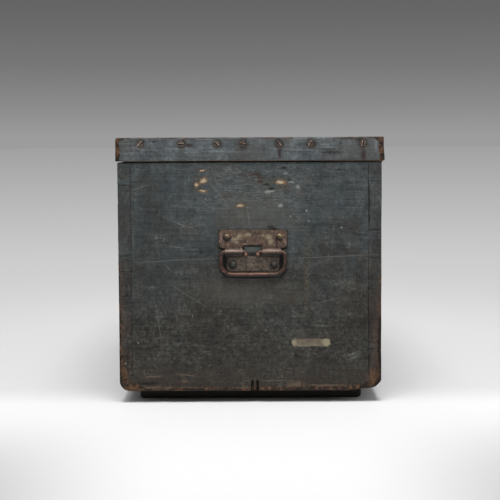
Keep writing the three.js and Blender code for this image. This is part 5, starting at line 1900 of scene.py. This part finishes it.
irons = (  # the name, the rust, its hollows and its bright parts, and the relief in millimetres
    ("iron_plate", (106, 86, 72), (58, 43, 35), (156, 134, 112), 0.25),
    ("iron_bail", (80, 53, 42), (38, 24, 18), (138, 99, 79), 0.15),
    ("iron_nail", (58, 46, 40), (32, 27, 24), (104, 84, 66), 0.1),
    ("iron_stud_upper", (88, 72, 50), (50, 39, 29), (160, 138, 100), 0.25),
    ("iron_stud_lower", (58, 58, 50), (34, 33, 30), (116, 116, 104), 0.25),
    ("iron_hinge", (92, 70, 58), (46, 38, 34), (130, 104, 84), 0.25),
    ("steel_screw", (98, 86, 78), (58, 46, 40), (132, 118, 106), 0.1),
    # The lip beside a slot is a painted highlight, and the slot's inside is dirt and painted shade.
    ("slot_lip", (186, 166, 148), (110, 88, 72), (206, 196, 184), 0.05),
    ("slot_dirt", (26, 20, 17), (14, 12, 10), (40, 30, 24), 0.05),
    ("steel_lock", (96, 86, 76), (54, 48, 44), (140, 132, 120), 0.12),
    ("steel_pin", (110, 100, 90), (62, 54, 48), (150, 142, 130), 0.1),
    ("brass_shield", (142, 112, 62), (84, 66, 40), (196, 164, 100), 0.1),
)
for name, rust, dark, bright, relief in irons:
    iron(name, rust, dark, bright, relief, [plate_marks] if name == "iron_plate" else ())
print("finishes:", len(bpy.data.materials))

# %% [markdown]
# ## Every piece gets its finish
# A board lists its finishes in the order of the numbers its faces carry: first its outside, then the
# bare wood, then what shows at its ends.


# %% Finishes on the pieces
def coat(pieces, *finishes):
    """Gives pieces their finishes in order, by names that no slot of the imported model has. The list is
    never cleared, because that would also set every face back to the first one."""
    for piece in pieces:
        slots = piece.data.materials
        while len(slots) < len(finishes):
            slots.append(None)
        for i, finish in enumerate(finishes):
            slots[i] = bpy.data.materials[finish]


side_coats = "paint_front", "pine_inside", "paint_right_grain", "paint_left_grain"
coat(walls, *side_coats)
coat(ends[:2], "paint_right_end", "pine_inside_ends", "paint_front")
coat(ends[2:], "paint_left_end", "pine_inside_ends", "paint_front")
coat(bottom, *side_coats, "pine_under")
coat(skids, "pine_skid")
coat([rim_right], "paint_right_rim", "pine_inside_ends")
coat([rim_left], "paint_left_rim", "pine_inside_ends")
coat([*rim_sides, *lid_boards], "paint_lid", "pine_inside")
coat([*slotted, *screws, *hinge_screws, lock_screws], "steel_screw", "slot_dirt", "slot_lip")
coat(plates, "iron_plate")
coat(bails, "iron_bail")
coat([nail], "iron_nail")
coat(right_studs[:2], "iron_stud_upper")
coat([*right_studs[2:], left_studs], "iron_stud_lower")
coat(hinge_leaves, "iron_hinge")
coat(hinge_pins, "steel_pin")
coat(lock_pieces, "steel_lock")
coat([escutcheon, shield_pins], "brass_shield")
coat([till for till in tills if "end" not in till.name], "pine_till")
coat([till for till in tills if "end" in till.name], "pine_till_ends")
coat(runners, "pine_till_ends")

# %% [markdown]
# ## Floor and light
# The photograph's floor is white in front and greys into a plain backdrop. One wide floor does both:
# near the chest it is mostly a matt white surface that takes the shadows, with a share of painted glow
# beside the chest that lightens them, and far off it glows with painted greys that fade to the tone of
# the backdrop at the horizon. It is painted a little dimmer beside the chest's front, a painted shade, as
# it is there.

# %% Floor
floor_height = -0.2 * mm
fade_start = 2.8  # the floor fades with 1 / (distance from the chest + this), so slower and slower
angles = np.linspace(0, 2 * math.pi, 48, endpoint=False)
radii = np.array([0, 0.5, 1, 2, 4, 8, 16, 30, 60])
circle = np.stack([np.cos(angles), np.sin(angles), 0 * angles], axis=-1)
floor_points = (radii[:, None, None] * circle + (0, 0, floor_height)).reshape(-1, 3)
floor_faces = sheet_faces(len(radii), len(angles))
floor_mesh = bpy.data.meshes.new("floor")
floor_mesh.from_pydata(floor_points.tolist(), [], floor_faces.tolist())
floor = bpy.data.objects.new("floor", floor_mesh)
bpy.context.scene.collection.objects.link(floor)
floor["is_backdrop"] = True


def ramp(value, tones):
    """Greys that follow a value, given as pairs of a value and a grey on screen, in order."""
    shade = node("ValToRGB", {0: value})[0]
    stops = shade.socket.node.color_ramp.elements
    for i, (position, grey) in enumerate(tones):
        stop = stops[i] if i < 2 else stops.new(position)
        stop.position = position
        stop.color = srgb(grey, grey, grey)
    return shade


made, shader, place = material("floor")
floor_mesh.materials.append(made)
ways = parts_of(place)
away = length(place)
nearness = maths("DIVIDE", 1, away + fade_start)
tones = ((0, 156), (0.05, 170), (0.1, 184), (0.19, 205), (0.285, 222), (0.36, 224))
fade = ramp(nearness, tones)
sideways = abs(ways[1])
beside = maths("MAXIMUM", abs(ways[0]) * (1 / case_high[0]), sideways * (1 / case_high[1]))
# far is the share of painted glow: none under the chest, some beside it to lighten its shadows, all of it
# far off.
far = between(away, 0.7, 2.6, 0.3, 1) * between(beside, 0.95, 1.05)
# aside paints the floor beside the chest's front a little dimmer, a painted shade.
aside = between(sideways, 0.1, 0.46) * between(sideways, 0.6, 1.3, 1, 0)
pale = shaded(fade, between(ways[0], 0.25, 0.45, 0.93, 1.08))
pale = mixed(aside * between(ways[0], 0.4, 1.15), pale, (172, 172, 172))
shader["Base Color"] = pale
shader["Roughness"] = 0.9
shader["Specular IOR Level"] = 0
beyond = between(away, 1.2, 2.4)
glow = {"Color": mixed(beyond, pale, fade), "Strength": beyond * -0.14 + 1.14}
nodes = made.node_tree.nodes
shades = {0: far, 1: Sockets(nodes["Principled BSDF"].outputs)[0], 2: node("Emission", glow)[0]}
Sockets(nodes["Material Output"].inputs)["Surface"] = node("MixShader", shades)[0]
print("floor:", len(floor_faces), "faces")

# %% [markdown]
# A large soft light above the right end makes the lid's edge the brightest part of the chest and leaves
# its foot the darkest, and three weaker ones fill the shadows. The camera sees a backdrop that darkens
# upwards, while the chest is lit by a plain pale sky.

# %% Backdrop and lights
world = bpy.data.worlds.new("studio")
bpy.context.scene.world = world
world.use_nodes = True
height = parts_of(node("TexCoord", {}, world.node_tree)["Generated"])[2]
sky = ramp(height * 10, ((0, 156), (0.225, 138), (0.5, 119), (0.8, 105), (1, 98)))
lit = mixed(between(height, -0.1, 0.9), (80, 80, 80), (180, 180, 180))
is_seen = node("LightPath", {}, world.node_tree)["Is Camera Ray"]
Sockets(world.node_tree.nodes["Background"].inputs)["Color"] = mixed(is_seen, lit, sky)


def soft_light(name, place, target, size, power):
    """A square light that looks at a point."""
    light = bpy.data.objects.new(name, bpy.data.lights.new(name, "AREA"))
    light.data.size = size
    light.data.energy = power
    light.location = place
    light.rotation_mode = "QUATERNION"
    light.rotation_quaternion = (Vector(target) - Vector(place)).to_track_quat("-Z", "Y")
    bpy.context.scene.collection.objects.link(light)


soft_light("key", (1.4, 0, 2.9), (0.42, 0, 0.25), 1.5, 82)
soft_light("left", (0.6, -2.8, 1.6), (0, 0, 0.1), 1.6, 8)
soft_light("right", (0.6, 2.8, 1.6), (0, 0, 0.1), 1.6, 16)
soft_light("behind", (-2, 0, 2.6), (0, 0, 0.2), 1.8, 22)
bpy.context.scene.view_settings.view_transform = "Standard"

# %% [markdown]
# The dressed chest has to stay inside the imported model's box, so both boxes are measured and the furthest
# that the dressed chest reaches outside is printed.

# %% Finish
dressed_low, dressed_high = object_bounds()
outside = max(*(cad_low - dressed_low), *(dressed_high - cad_high))
print("furthest outside the packed model's box:", round(outside / mm, 3), "mm")
